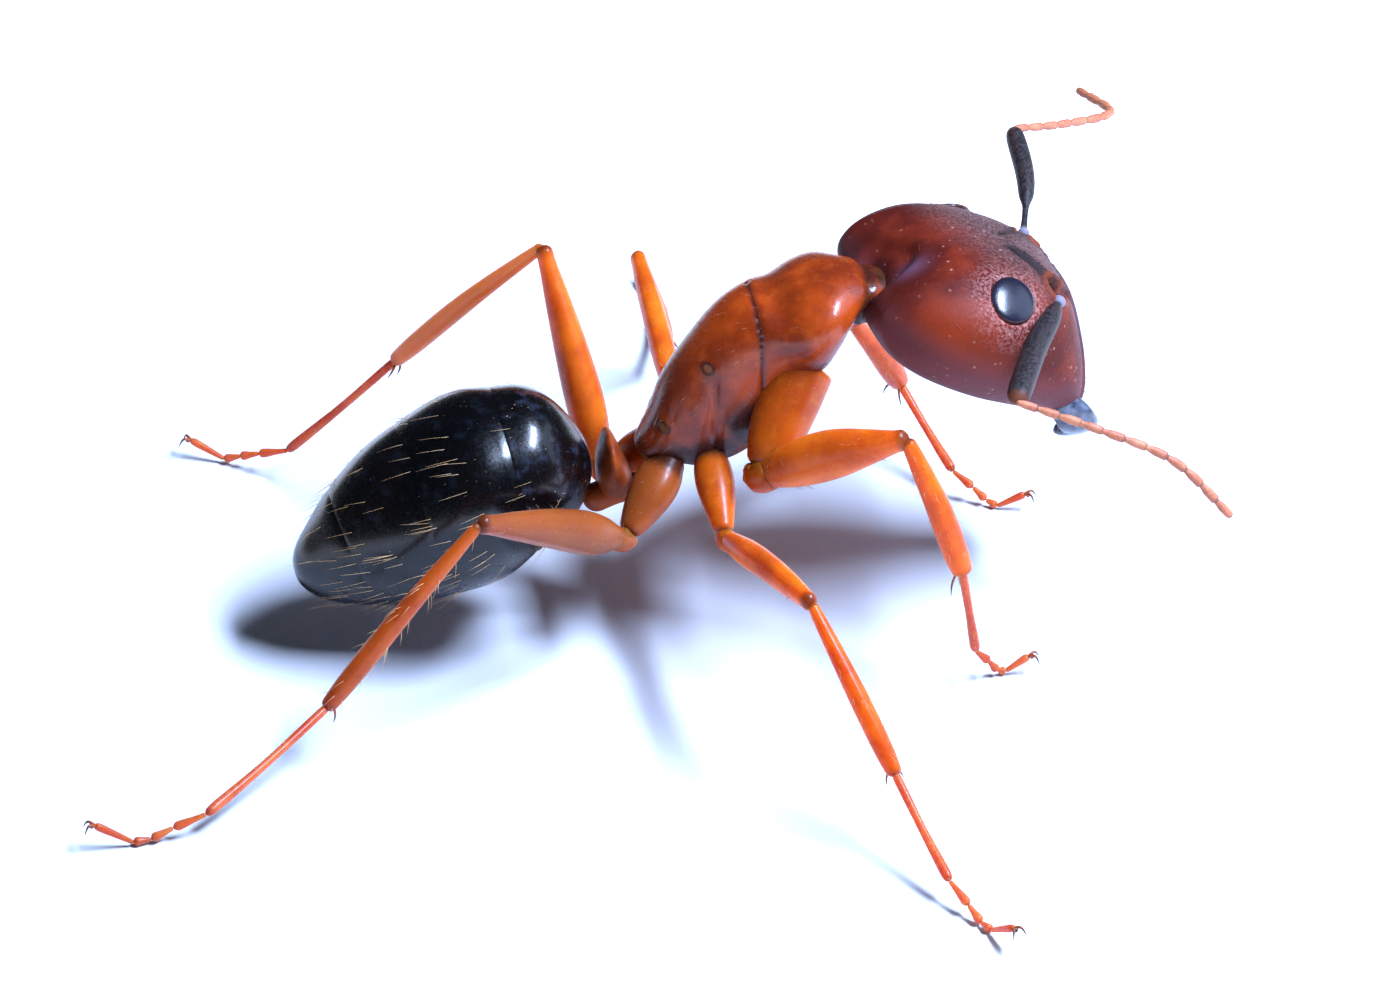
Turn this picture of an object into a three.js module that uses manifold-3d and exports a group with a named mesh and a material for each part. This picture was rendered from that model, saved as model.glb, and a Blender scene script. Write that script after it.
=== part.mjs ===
// A carpenter ant, a big-headed major worker, standing alert on all six feet.
// Millimetres. +X is the way the ant faces, +Y is its left, +Z is up and the floor is z = 0.
// Head, mesosoma and gaster are each a group turned about its own reference point. The legs are placed
// straight in the ant's own frame.

import * as THREE from 'three';
import { mergeVertices } from 'three/addons/utils/BufferGeometryUtils.js';
import Module from 'manifold-3d';

// ---------------------------------------------------------------------------
// Driving dimensions
// ---------------------------------------------------------------------------

const HEAD = { length: 4.4, halfWidth: 1.98, at: [1.72, 0, 5.76], pitch: 37, yaw: 5, notch: 0.42 };
const EYE = { at: [1.91, 1.25, 1.32], long: 0.38, across: 0.33, bulge: 0.26, lean: 30, turn: 20 };
const MANDIBLE = {
  base: [3.72, 0.78, 0.12], elbow: [4.42, 0.86, -0.12], tip: [4.58, 0.14, -0.36],
};
const MESOSOMA = { length: 4.55, at: [-1.58, 0, 3.07], pitch: -33 };
const NECK = { from: [1.9, 0, 5.2], to: [2.6, 0, 5.12], radius: 0.3 };
const PETIOLE = {
  foot: [-1.86, 0, 2.4], crest: [-2.03, 0, 3.26], halfWidth: 0.54, halfLength: 0.27,
};
const GASTER = { length: 4.85, at: [-6.93, 0, 1.52], pitch: -12 };

const SLIM = 0.27;            // half the thickness of the slimmest limb
const JOINT_GAP = 0.03;       // clearance between one hard part and the next
const SUTURE_GAP = 0.04;      // clearance between two plates of one tagma
const SOLE = 0.03;            // how far each foot is pressed flat
const SOLE_LENGTH = 0.3;      // the stretch of each foot that lies along the floor
const HEEL_LIFT = 0.03;       // least clearance of the basitarsus above the floor
const TROCHANTER_LENGTH = 0.12;
const COXA_SHORT = 0.16;      // share of the way from joint to hip where the coxa stops
const FEMUR_SHORT = 0.1;      // share of the way from joint to knee where the femur starts
const SLIM_SIDES = 6;         // flat sides around each slim piece, one of them downward on a foot

// Leg lengths, hip to claw, and the half thickness of each piece.
const LEG_SIZES = {
  fore: { femur: 2.9, tibia: 2.42, basitarsus: 1.75, coxa: [0.5, 0.27], thigh: [0.27, 0.32, 0.25] },
  middle: { femur: 3.72, tibia: 2.86, basitarsus: 1.9, coxa: [0.33, 0.26], thigh: [0.27, 0.31, 0.25] },
  hind: { femur: 3.72, tibia: 3.76, basitarsus: 2.68, coxa: [0.44, 0.27], thigh: [0.3, 0.34, 0.25] },
};

// How each leg is held: [heading, pitch] in degrees for each piece, heading 0 forward and 90 to the left.
// The hip is the root of the coxa, the three long pieces follow one another from the trochanter, the foot
// rests at foot and the raised last joint ends at toe.
const STANCE = {
  fore_right: {
    hip: [0.84, -0.72, 4.35], trochanter: [0.09, -1.3, 3.11],
    femur: [-38, 28], tibia: [-26, -68], basitarsus: [56, -72],
    foot: [3.65, -2.71], toe: [4.08, -2.76, 0.34],
  },
  fore_left: {
    hip: [0.84, 0.72, 4.35], trochanter: [0, 1.3, 3.1],
    femur: [35, 3], tibia: [47, -52], basitarsus: [-67, -30],
    foot: [4.65, 2.11], toe: [5.01, 1.99, 0.34],
  },
  middle_right: {
    hip: [-0.5, -0.72, 3.1], trochanter: [-0.52, -1.87, 2.41],
    femur: [-79, 14], tibia: [-61, -46], basitarsus: [-73, -27],
    foot: [2.05, -9.66], toe: [2.3, -10.2, 0.34],
  },
  middle_left: {
    hip: [-0.5, 0.72, 3.1], trochanter: [-0.6, 1.9, 2.6],
    femur: [90, 10], tibia: [78, -59], basitarsus: [84, -14],
    foot: [0.05, 9.75], toe: [0.1, 10.2, 0.34],
  },
  hind_right: {
    hip: [-1.15, -0.62, 2.9], trochanter: [-1.9, -1.16, 2.1],
    femur: [-142, 28], tibia: [-175, -50], basitarsus: [-141, -13],
    foot: [-10.19, -5.19], toe: [-10.62, -5.14, 0.45],
  },
  hind_left: {
    hip: [-1.15, 0.62, 2.9], trochanter: [-1.88, 1.11, 1.9],
    femur: [113, 62], tibia: [146, -46], basitarsus: [152, -47],
    foot: [-7.4, 5.78], toe: [-7.8, 5.94, 0.36],
  },
};

// Antennae in the head's own frame: root, elbow, and the bends of the whip-like flagellum.
const ANTENNA = {
  right: {
    root: [2.65, -0.7, 1.52], elbow: [1.78, -3.36, 0.52],
    bends: [[4.04, -4.26, 1.17], [5.21, -4.63, 0.96]],
  },
  left: {
    root: [2.65, 0.7, 1.52], elbow: [2.6, 3.2, 2.34],
    bends: [[3.8, 3.8, 2.82], [4.74, 4.6, 3.14], [4.63, 5.6, 2.88]],
  },
};

// ---------------------------------------------------------------------------
// Colours and finishes of the cuticle
// ---------------------------------------------------------------------------

const finish = (color, roughness) => new THREE.MeshStandardMaterial({ color, roughness, metalness: 0 });
const MAHOGANY = finish(0x7a2a14, 0.42);
const RED_BROWN = finish(0x9a4420, 0.38);
const AMBER = finish(0xc8641e, 0.32);
const ORANGE_RED = finish(0xb9532a, 0.36);
const ROSE_BROWN = finish(0xa85a4a, 0.45);
const SLATE = finish(0x3a3438, 0.6);
const JET = finish(0x16120f, 0.2);
const EYE_BLACK = finish(0x0c0a10, 0.12);
const PITCH_BLACK = finish(0x1c1414, 0.28);

// ---------------------------------------------------------------------------
// Shape helpers
// ---------------------------------------------------------------------------

const point = (place) => new THREE.Vector3(...place);
const radians = THREE.MathUtils.degToRad;

function aim([heading, pitch]) {
  const level = Math.cos(radians(pitch));
  const bearing = radians(heading);
  return new THREE.Vector3(level * Math.cos(bearing), level * Math.sin(bearing), Math.sin(radians(pitch)));
}

// A smooth curve through [place, value] knots, read at any place between them.
function profile(knots) {
  const slope = knots.map((_, i) => {
    const a = knots[Math.max(i - 1, 0)];
    const b = knots[Math.min(i + 1, knots.length - 1)];
    return (b[1] - a[1]) / (b[0] - a[0]);
  });
  return (s) => {
    const last = knots.length - 2;
    const found = knots.findIndex((knot) => knot[0] > s);
    const i = found < 0 ? last : Math.min(Math.max(found - 1, 0), last);
    const [s0, v0] = knots[i];
    const [s1, v1] = knots[i + 1];
    const span = s1 - s0;
    const u = (s - s0) / span;
    const keep = (1 + 2 * u) * (1 - u) ** 2;
    const rise = u * (1 - u) ** 2 * span * slope[i];
    const fall = u * u * (u - 1) * span * slope[i + 1];
    return keep * v0 + (1 - keep) * v1 + rise + fall;
  };
}

const signedPower = (value, power) => Math.sign(value) * Math.abs(value) ** power;

// A rounded body along +X from x = 0 to its length. top, bottom and half give the outline of its section
// at s from 0 to 1, blunt rounds the two ends off, and square above 1 makes the section boxier.
function tagma({ length, top, bottom, half, blunt = 2, square = 1, sides = 24, rings = 16, warp }) {
  return (grow) => {
    const shape = new THREE.SphereGeometry(1, sides, rings);
    const place = shape.getAttribute('position');
    for (let i = 0; i < place.count; i += 1) {
      const s = (1 - THREE.MathUtils.clamp(place.getY(i), -1, 1)) / 2;
      const ring = Math.hypot(place.getX(i), place.getZ(i));
      const end = (1 - Math.abs(1 - 2 * s) ** blunt) ** (1 / blunt);
      const across = ring > 0 ? signedPower(-place.getZ(i) / ring, 1 / square) : 0;
      const upward = ring > 0 ? signedPower(place.getX(i) / ring, 1 / square) : 0;
      const middle = (top(s) + bottom(s)) / 2;
      const tall = (top(s) - bottom(s)) / 2;
      const x = s * (length + 2 * grow) - grow;
      const y = across * (half(s) + grow) * end;
      const z = middle + upward * (tall + grow) * end;
      place.setXYZ(i, ...(warp ? warp(x, y, z, s) : [x, y, z]));
    }
    return shape;
  };
}

// A limb piece along a curve, with round ends that stand a half thickness past the curve's ends.
// wide is its half thickness across, deep its half thickness in the plane of the hint direction.
function limb({ along, wide, deep = wide, hint = [0, 0, 1], sides = 8, steps = 4, caps = 2 }) {
  return (grow) => {
    const shape = new THREE.CapsuleGeometry(1, 1, caps, sides, steps);
    const place = shape.getAttribute('position');
    for (let i = 0; i < place.count; i += 1) {
      const y = place.getY(i);
      const s = THREE.MathUtils.clamp(y + 0.5, 0, 1);
      const forward = along.getTangentAt(s);
      const side = point(hint).cross(forward).normalize();
      const over = forward.clone().cross(side);
      const past = (y + 0.5 - s) * (wide(s) + grow);
      const spot = along.getPointAt(s)
        .addScaledVector(forward, past)
        .addScaledVector(side, place.getX(i) * (wide(s) + grow))
        .addScaledVector(over, -place.getZ(i) * (deep(s) + grow));
      place.setXYZ(i, spot.x, spot.y, spot.z);
    }
    return shape;
  };
}

const straight = (from, to) => new THREE.LineCurve3(from, to);
const even = (radius) => profile([[0, radius], [1, radius]]);

// ---------------------------------------------------------------------------
// Cutting one hard part clear of another
// ---------------------------------------------------------------------------

const wasm = await Module();
wasm.setup();

const makers = new Map();

function part(name, material, maker) {
  const mesh = new THREE.Mesh(maker(0), material);
  mesh.name = name;
  makers.set(mesh, maker);
  return mesh;
}

function solidOf(geometry, matrix) {
  const bare = geometry.clone();
  bare.deleteAttribute('normal');
  bare.deleteAttribute('uv');
  const joined = mergeVertices(bare, 1e-5).applyMatrix4(matrix);
  return new wasm.Manifold(new wasm.Mesh({
    numProp: 3,
    vertProperties: new Float32Array(joined.getAttribute('position').array),
    triVerts: new Uint32Array(joined.index.array),
  }));
}

function geometryOf(solid, matrix) {
  const { vertProperties, triVerts, numProp } = solid.getMesh();
  const geometry = new THREE.BufferGeometry();
  const places = [];
  for (let i = 0; i < vertProperties.length; i += numProp) {
    places.push(vertProperties[i], vertProperties[i + 1], vertProperties[i + 2]);
  }
  geometry.setAttribute('position', new THREE.Float32BufferAttribute(places, 3));
  geometry.setIndex([...triVerts]);
  return geometry.applyMatrix4(matrix);
}

// Takes each cutter, made larger by the gap, out of the mesh, and drops any chip that this cuts loose.
// Both keep their own groups' places.
function carve(mesh, cutters, gap = JOINT_GAP) {
  let solid = solidOf(mesh.geometry, mesh.matrixWorld);
  for (const cutter of cutters) {
    solid = solid.subtract(solidOf(makers.get(cutter)(gap), cutter.matrixWorld));
  }
  const [largest] = solid.decompose().sort((a, b) => b.volume() - a.volume());
  mesh.geometry = geometryOf(largest, mesh.matrixWorld.clone().invert());
}

// Cuts a foot off level with the floor.
function press(mesh) {
  const solid = solidOf(mesh.geometry, mesh.matrixWorld).trimByPlane([0, 0, 1], 0);
  mesh.geometry = geometryOf(solid, mesh.matrixWorld.clone().invert());
}

// Parts a tagma along planes square to its length, leaning back by the given slopes.
function divide(maker, names, material, cuts) {
  const whole = solidOf(maker(0), new THREE.Matrix4());
  return names.map((name, i) => {
    let piece = whole;
    if (i > 0) {
      const { at, lean } = cuts[i - 1];
      piece = piece.trimByPlane([1, 0, lean], at + SUTURE_GAP / 2);
    }
    if (i < cuts.length) {
      const { at, lean } = cuts[i];
      piece = piece.trimByPlane([-1, 0, -lean], -at + SUTURE_GAP / 2);
    }
    const mesh = new THREE.Mesh(geometryOf(piece, new THREE.Matrix4()), material);
    mesh.name = name;
    return mesh;
  });
}

// ---------------------------------------------------------------------------
// Head: a broad heart-shaped capsule, the eyes, the mandibles and the antennae
// ---------------------------------------------------------------------------

function headShape() {
  const top = profile([[0, 0.75], [0.1, 1.12], [0.2, 1.38], [0.36, 1.63], [0.52, 1.79], [0.68, 1.7],
    [0.82, 1.32], [0.93, 0.82], [1, 0.46]]);
  const bottom = profile([[0, -0.48], [0.08, -0.54], [0.2, -0.6], [0.36, -0.58], [0.55, -0.48],
    [0.72, -0.36], [0.9, -0.22], [1, -0.12]]);
  const half = profile([[0, 1.72], [0.1, 1.84], [0.22, 1.96], [0.38, HEAD.halfWidth], [0.55, 1.87],
    [0.72, 1.62], [0.88, 1.36], [1, 1.2]]);
  const warp = (x, y, z, s) => {
    const hollow = HEAD.notch * (1 - s) ** 4 * (1 - Math.min(Math.abs(y) / 1.2, 1) ** 2);
    return [x + hollow, y, z];
  };
  return tagma({
    length: HEAD.length, top, bottom, half, blunt: 3.2, square: 1.12, sides: 18, rings: 13, warp,
  });
}

function eyeShape() {
  return (grow) => {
    const ball = new THREE.SphereGeometry(1, 12, 8);
    return ball.scale(EYE.long + grow, EYE.across + grow, EYE.bulge + grow);
  };
}

function mandibleShape(side) {
  const mirrored = ([x, y, z]) => new THREE.Vector3(x, side * y, z);
  const { base, elbow, tip } = MANDIBLE;
  const along = new THREE.QuadraticBezierCurve3(...[base, elbow, tip].map(mirrored));
  const wide = profile([[0, 0.3], [0.5, 0.33], [1, 0.1]]);
  const deep = profile([[0, 0.26], [0.5, 0.24], [1, 0.1]]);
  return limb({ along, wide, deep, steps: 5 });
}

function antenna(name, { root, elbow, bends }) {
  const scapeWide = profile([[0, SLIM], [0.12, SLIM], [1, SLIM + 0.02]]);
  const whip = new THREE.CatmullRomCurve3([elbow, ...bends].map(point), false, 'centripetal');
  const scape = part(`antenna_${name}_scape`, SLATE, limb({
    along: straight(point(root), point(elbow)), wide: scapeWide, sides: SLIM_SIDES,
  }));
  const flagellum = [1, 2, 3].map((third) => {
    const steps = [-1, -0.5, 0].map((back) => whip.getPointAt((third + back) / 3));
    const along = new THREE.CatmullRomCurve3(steps);
    return part(`antenna_${name}_flagellum_${third}`, ROSE_BROWN, limb({
      along, wide: even(SLIM), sides: SLIM_SIDES, steps: 3,
    }));
  });
  return [scape, ...flagellum];
}

const head = new THREE.Group();
head.position.set(...HEAD.at);
head.rotation.set(0, radians(HEAD.pitch), radians(HEAD.yaw), 'ZYX');

const capsule = part('head', MAHOGANY, headShape());
const eyes = [['left', 1], ['right', -1]].map(([name, side]) => {
  const eye = part(`eye_${name}`, EYE_BLACK, eyeShape());
  eye.position.set(EYE.at[0], side * EYE.at[1], EYE.at[2]);
  eye.rotation.set(radians(-side * EYE.lean), 0, radians(side * EYE.turn), 'ZYX');
  return eye;
});
const mandibles = [['left', 1], ['right', -1]].map(([name, side]) => (
  part(`mandible_${name}`, PITCH_BLACK, mandibleShape(side))
));
const antennae = Object.entries(ANTENNA).map(([name, pose]) => antenna(name, pose));
head.add(capsule, ...eyes, ...mandibles, ...antennae.flat());

// ---------------------------------------------------------------------------
// Mesosoma: pronotum, mesothorax and propodeum, with the neck in front
// ---------------------------------------------------------------------------

function mesosomaShape() {
  const top = profile([[0, 0.15], [0.1, 0.4], [0.2, 0.72], [0.35, 1.0], [0.5, 1.2], [0.62, 1.17],
    [0.69, 1.0], [0.78, 0.93], [0.88, 0.74], [0.95, 0.48], [1, 0.2]]);
  const bottom = profile([[0, -0.2], [0.08, -0.5], [0.2, -0.86], [0.32, -0.98], [0.43, -0.84],
    [0.56, -0.52], [0.7, -0.5], [0.86, -0.36], [1, -0.15]]);
  const half = profile([[0, 0.5], [0.1, 0.62], [0.25, 0.72], [0.45, 0.82], [0.6, 0.92], [0.72, 1.12],
    [0.84, 1.12], [0.93, 0.8], [1, 0.55]]);
  return tagma({
    length: MESOSOMA.length, top, bottom, half, blunt: 4, square: 1.08, sides: 16, rings: 14,
  });
}

const mesosoma = new THREE.Group();
mesosoma.position.set(...MESOSOMA.at);
mesosoma.rotation.y = radians(MESOSOMA.pitch);
const [propodeum, mesothorax, pronotum] = divide(
  mesosomaShape(),
  ['propodeum', 'mesothorax', 'pronotum'],
  RED_BROWN,
  [{ at: 1.3, lean: 0.35 }, { at: 2.2, lean: -0.6 }],
);
mesosoma.add(propodeum, mesothorax, pronotum);

const neck = part('neck', RED_BROWN, limb({
  along: straight(point(NECK.from), point(NECK.to)),
  wide: even(NECK.radius),
  sides: 10,
  steps: 1,
}));

// ---------------------------------------------------------------------------
// Waist and gaster
// ---------------------------------------------------------------------------

const petiole = part('petiole', ORANGE_RED, limb({
  along: straight(point(PETIOLE.foot), point(PETIOLE.crest)),
  wide: profile([[0, PETIOLE.halfLength], [0.4, PETIOLE.halfLength], [1, PETIOLE.halfLength * 0.45]]),
  deep: profile([[0, PETIOLE.halfWidth * 0.6], [0.45, PETIOLE.halfWidth], [1, PETIOLE.halfWidth * 0.7]]),
  hint: [0, 1, 0],
  sides: 12,
  steps: 4,
}));

function gasterShape() {
  const middle = profile([[0, -0.1], [0.08, -0.06], [0.16, 0.06], [0.28, 0.19], [0.41, 0.3], [0.58, 0.43],
    [0.76, 0.55], [0.85, 0.6], [0.93, 0.54], [1, 0.42]]);
  const radius = profile([[0, 0.6], [0.08, 0.8], [0.16, 1.0], [0.28, 1.2], [0.41, 1.36], [0.58, 1.5],
    [0.72, 1.44], [0.85, 1.34], [0.93, 1.2], [1, 0.9]]);
  const top = (s) => middle(s) + radius(s);
  const bottom = (s) => middle(s) - radius(s);
  return tagma({ length: GASTER.length, top, bottom, half: radius, blunt: 2.3, sides: 18, rings: 15 });
}

const gaster = new THREE.Group();
gaster.position.set(...GASTER.at);
gaster.rotation.y = radians(GASTER.pitch);
const rings = divide(
  gasterShape(),
  ['gaster_4', 'gaster_3', 'gaster_2', 'gaster_1'],
  JET,
  [{ at: 1.0, lean: 0.18 }, { at: 2.25, lean: 0.1 }, { at: 3.6, lean: 0.02 }],
);
gaster.add(...rings);

// ---------------------------------------------------------------------------
// Legs: coxa, trochanter, femur, tibia, basitarsus and the rest of the foot
// ---------------------------------------------------------------------------

function leg(name, pose) {
  const sizes = LEG_SIZES[name.split('_')[0]];
  const hip = point(pose.hip);
  const joint = point(pose.trochanter);
  const knee = joint.clone().addScaledVector(aim(pose.femur), sizes.femur);
  const ankle = knee.clone().addScaledVector(aim(pose.tibia), sizes.tibia);
  const heel = ankle.clone().addScaledVector(aim(pose.basitarsus), sizes.basitarsus);
  heel.z = Math.max(heel.z, SLIM + HEEL_LIFT);
  const foot = new THREE.Vector3(...pose.foot, SLIM * Math.cos(Math.PI / SLIM_SIDES) - SOLE);
  const toe = point(pose.toe);

  const [coxaRoot, coxaEnd] = sizes.coxa;
  const [thighRoot, thighMiddle, thighEnd] = sizes.thigh;
  const bead = joint.clone().addScaledVector(aim(pose.femur), TROCHANTER_LENGTH);
  const coxa = part(`coxa_${name}`, AMBER, limb({
    along: straight(hip, joint.clone().lerp(hip, COXA_SHORT)),
    wide: profile([[0, coxaRoot], [0.35, coxaRoot * 0.96], [1, coxaEnd]]),
    steps: 3,
  }));
  const trochanter = part(`trochanter_${name}`, AMBER, limb({
    along: straight(joint, bead), wide: even(SLIM), sides: SLIM_SIDES, steps: 1,
  }));
  const femur = part(`femur_${name}`, AMBER, limb({
    along: straight(joint.clone().lerp(knee, FEMUR_SHORT), knee),
    wide: profile([[0, SLIM], [0.3, thighRoot], [0.6, thighRoot], [1, thighEnd]]),
    deep: profile([[0, SLIM], [0.28, thighMiddle], [0.6, thighMiddle * 0.95], [1, thighEnd]]),
    steps: 4,
  }));
  const tibia = part(`tibia_${name}`, ORANGE_RED, limb({
    along: straight(knee, ankle), wide: even(SLIM), steps: 1,
  }));
  const basitarsus = part(`basitarsus_${name}`, ROSE_BROWN, limb({
    along: straight(ankle, heel), wide: even(SLIM), sides: SLIM_SIDES, steps: 1,
  }));
  const tread = foot.clone().sub(heel).setZ(0).setLength(SOLE_LENGTH / 2);
  const tarsus = part(`tarsus_${name}`, ROSE_BROWN, limb({
    along: new THREE.CatmullRomCurve3([heel, foot.clone().sub(tread), foot.clone().add(tread), toe]),
    wide: even(SLIM),
    sides: SLIM_SIDES,
    steps: 6,
  }));
  return { coxa, trochanter, femur, tibia, basitarsus, tarsus };
}

const legs = Object.entries(STANCE).map(([name, pose]) => leg(name, pose));

// ---------------------------------------------------------------------------
// Assembly, with every part cut clear of the one that it fits against
// ---------------------------------------------------------------------------

const ant = new THREE.Group();
ant.add(head, mesosoma, neck, petiole, gaster);
for (const pieces of legs) {
  const group = new THREE.Group();
  group.add(...Object.values(pieces));
  ant.add(group);
}
ant.updateMatrixWorld(true);

for (const { coxa, trochanter, femur, tibia, basitarsus, tarsus } of legs) {
  carve(tarsus, [basitarsus]);
  press(tarsus);
  carve(basitarsus, [tibia]);
  carve(tibia, [femur]);
  carve(femur, [trochanter, coxa]);
  carve(coxa, [trochanter]);
}
for (const [scape, first, second, third] of antennae) {
  carve(third, [second]);
  carve(second, [first]);
  carve(first, [scape]);
  carve(capsule, [scape]);
}
carve(capsule, [...eyes, ...mandibles, neck]);
carve(pronotum, [neck, capsule]);
for (const plate of [pronotum, mesothorax, propodeum, petiole]) {
  carve(plate, legs.map(({ coxa }) => coxa));
}

// The origin is the middle of the ant's bounding box, on the floor.
const extent = new THREE.Box3().setFromObject(ant, true);
const middle = extent.getCenter(new THREE.Vector3());
ant.position.set(-middle.x, -middle.y, -extent.min.z);

export default ant;
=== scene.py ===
import math
import random

import bmesh
import bpy
from mathutils import Matrix, Vector, noise


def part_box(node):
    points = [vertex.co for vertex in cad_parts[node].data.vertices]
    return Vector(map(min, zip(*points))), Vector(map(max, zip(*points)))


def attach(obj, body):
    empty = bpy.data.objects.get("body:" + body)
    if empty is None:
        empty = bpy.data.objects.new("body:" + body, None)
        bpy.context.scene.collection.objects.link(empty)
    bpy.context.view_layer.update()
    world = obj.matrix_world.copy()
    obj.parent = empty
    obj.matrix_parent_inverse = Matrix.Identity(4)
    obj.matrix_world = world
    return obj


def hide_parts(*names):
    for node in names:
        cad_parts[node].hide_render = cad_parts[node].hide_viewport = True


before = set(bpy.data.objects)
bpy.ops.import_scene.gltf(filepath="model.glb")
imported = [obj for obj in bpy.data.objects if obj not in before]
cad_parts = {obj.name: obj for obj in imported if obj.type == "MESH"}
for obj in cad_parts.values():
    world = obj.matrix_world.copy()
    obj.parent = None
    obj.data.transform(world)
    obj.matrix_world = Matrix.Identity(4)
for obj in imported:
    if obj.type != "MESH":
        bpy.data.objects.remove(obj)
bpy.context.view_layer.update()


# ---------------------------------------------------------------------------
# Head capsule. The real one is a single hard box of mahogany cuticle, widest behind the eyes, hollowed
# at the nape, with two ridges beside the antennal sockets and a raised shield above the jaws. It is a
# ball drawn out into that outline, then pressed and raised along its normals.
# ---------------------------------------------------------------------------

MM = 0.001


def middle(node):
    """The middle of a node's box, in millimetres."""
    low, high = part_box(node)
    return (low + high) / (2 * MM)


def ease(start, end, value):
    """0 before start, 1 after end, and a smooth rise between them."""
    t = min(max((value - start) / (end - start), 0.0), 1.0)
    return t * t * (3 - 2 * t)


def hump(distance, width):
    """1 on a line and fading away from it within about the width."""
    return math.exp(-((distance / width) ** 2))


def profile(*knots):
    """A smooth curve through (place, value) knots."""
    slopes = []
    for i in range(len(knots)):
        a = knots[max(i - 1, 0)]
        b = knots[min(i + 1, len(knots) - 1)]
        slopes.append((b[1] - a[1]) / (b[0] - a[0]))

    def at(place):
        i = 0
        while i < len(knots) - 2 and place > knots[i + 1][0]:
            i += 1
        (s0, v0), (s1, v1) = knots[i], knots[i + 1]
        span = s1 - s0
        u = (place - s0) / span
        keep = (1 + 2 * u) * (1 - u) ** 2
        rise = u * (1 - u) ** 2 * span * slopes[i]
        fall = u * u * (u - 1) * span * slopes[i + 1]
        return keep * v0 + (1 - keep) * v1 + rise + fall

    return at


def ball(sides, rings):
    """A unit ball with its poles on z, whose vertices keep their place along and around it."""
    bm = bmesh.new()
    bmesh.ops.create_uvsphere(bm, u_segments=sides, v_segments=rings, radius=1)
    along = bm.verts.layers.float.new("along")
    around = bm.verts.layers.float.new("around")
    for v in bm.verts:
        v[along] = min(max((1 + v.co.z) / 2, 0.0), 1.0)
        v[around] = math.atan2(v.co.y, v.co.x) / math.tau + 0.5
    return bm


def soften(value, power):
    """A power that keeps its number's sign."""
    return math.copysign(abs(value) ** power, value)


def swell(bm, length, top, bottom, half, blunt, square):
    """Draws a ball out along +X: top, bottom and half give its outline at 0 to 1 of the length, blunt
    rounds the two ends off and square above 1 makes the section boxier."""
    along = bm.verts.layers.float["along"]
    for v in bm.verts:
        s = v[along]
        ring = math.hypot(v.co.x, v.co.y)
        end = (1 - abs(1 - 2 * s) ** blunt) ** (1 / blunt)
        across = soften(v.co.x / ring, 1 / square) if ring > 1e-6 else 0.0
        upward = soften(v.co.y / ring, 1 / square) if ring > 1e-6 else 0.0
        centre = (top(s) + bottom(s)) / 2
        tall = (top(s) - bottom(s)) / 2
        v.co = Vector((s * length, across * half(s) * end, centre + upward * tall * end))


def press(bm, height):
    """Moves every vertex along its normal by the height that its place asks for."""
    bm.normal_update()
    moves = [(v, v.normal * height(v.co)) for v in bm.verts]
    for v, move in moves:
        v.co += move


def put(name, data):
    """An object for a mesh, a lamp or a camera, in the scene."""
    made = bpy.data.objects.new(name, data)
    bpy.context.scene.collection.objects.link(made)
    return made


def piece(bm, name, place, finish, nodes):
    """Turns a shape in millimetres into a finished piece of the ant that stands for the named nodes."""
    bm.transform(Matrix.Scale(MM, 4) @ place)
    mesh = bpy.data.meshes.new(name)
    bm.to_mesh(mesh)
    bm.free()
    mesh.polygons.foreach_set("use_smooth", [True] * len(mesh.polygons))
    mesh.materials.append(finish)
    made = put(name, mesh)
    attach(made, "root")
    if nodes:
        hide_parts(*nodes)


def mark(bm, name, value):
    """Stores a number on every vertex, for the finish to read."""
    layer = bm.verts.layers.float.new(name)
    for v in bm.verts:
        v[layer] = value(v)


class Signal:
    """One output of a finish's nodes, which takes part in sums."""

    def __init__(self, finish, socket):
        self.finish = finish
        self.socket = socket

    def math(self, operation, *terms):
        return self.finish.node("ShaderNodeMath", {"operation": operation}, dict(enumerate(terms)))

    def __add__(self, other):
        return self.math("ADD", self, other)

    def __radd__(self, other):
        return self.math("ADD", other, self)

    def __sub__(self, other):
        return self.math("SUBTRACT", self, other)

    def __rsub__(self, other):
        return self.math("SUBTRACT", other, self)

    def __mul__(self, other):
        return self.math("MULTIPLY", self, other)

    def __rmul__(self, other):
        return self.math("MULTIPLY", other, self)

    def ramp(self, start, end, low=0.0, high=1.0):
        """This signal from start to end, spread smoothly from low to high."""
        settings = {"interpolation_type": "SMOOTHSTEP", "clamp": True}
        places = {0: self, 1: start, 2: end, 3: low, 4: high}
        return self.finish.node("ShaderNodeMapRange", settings, places)


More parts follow.
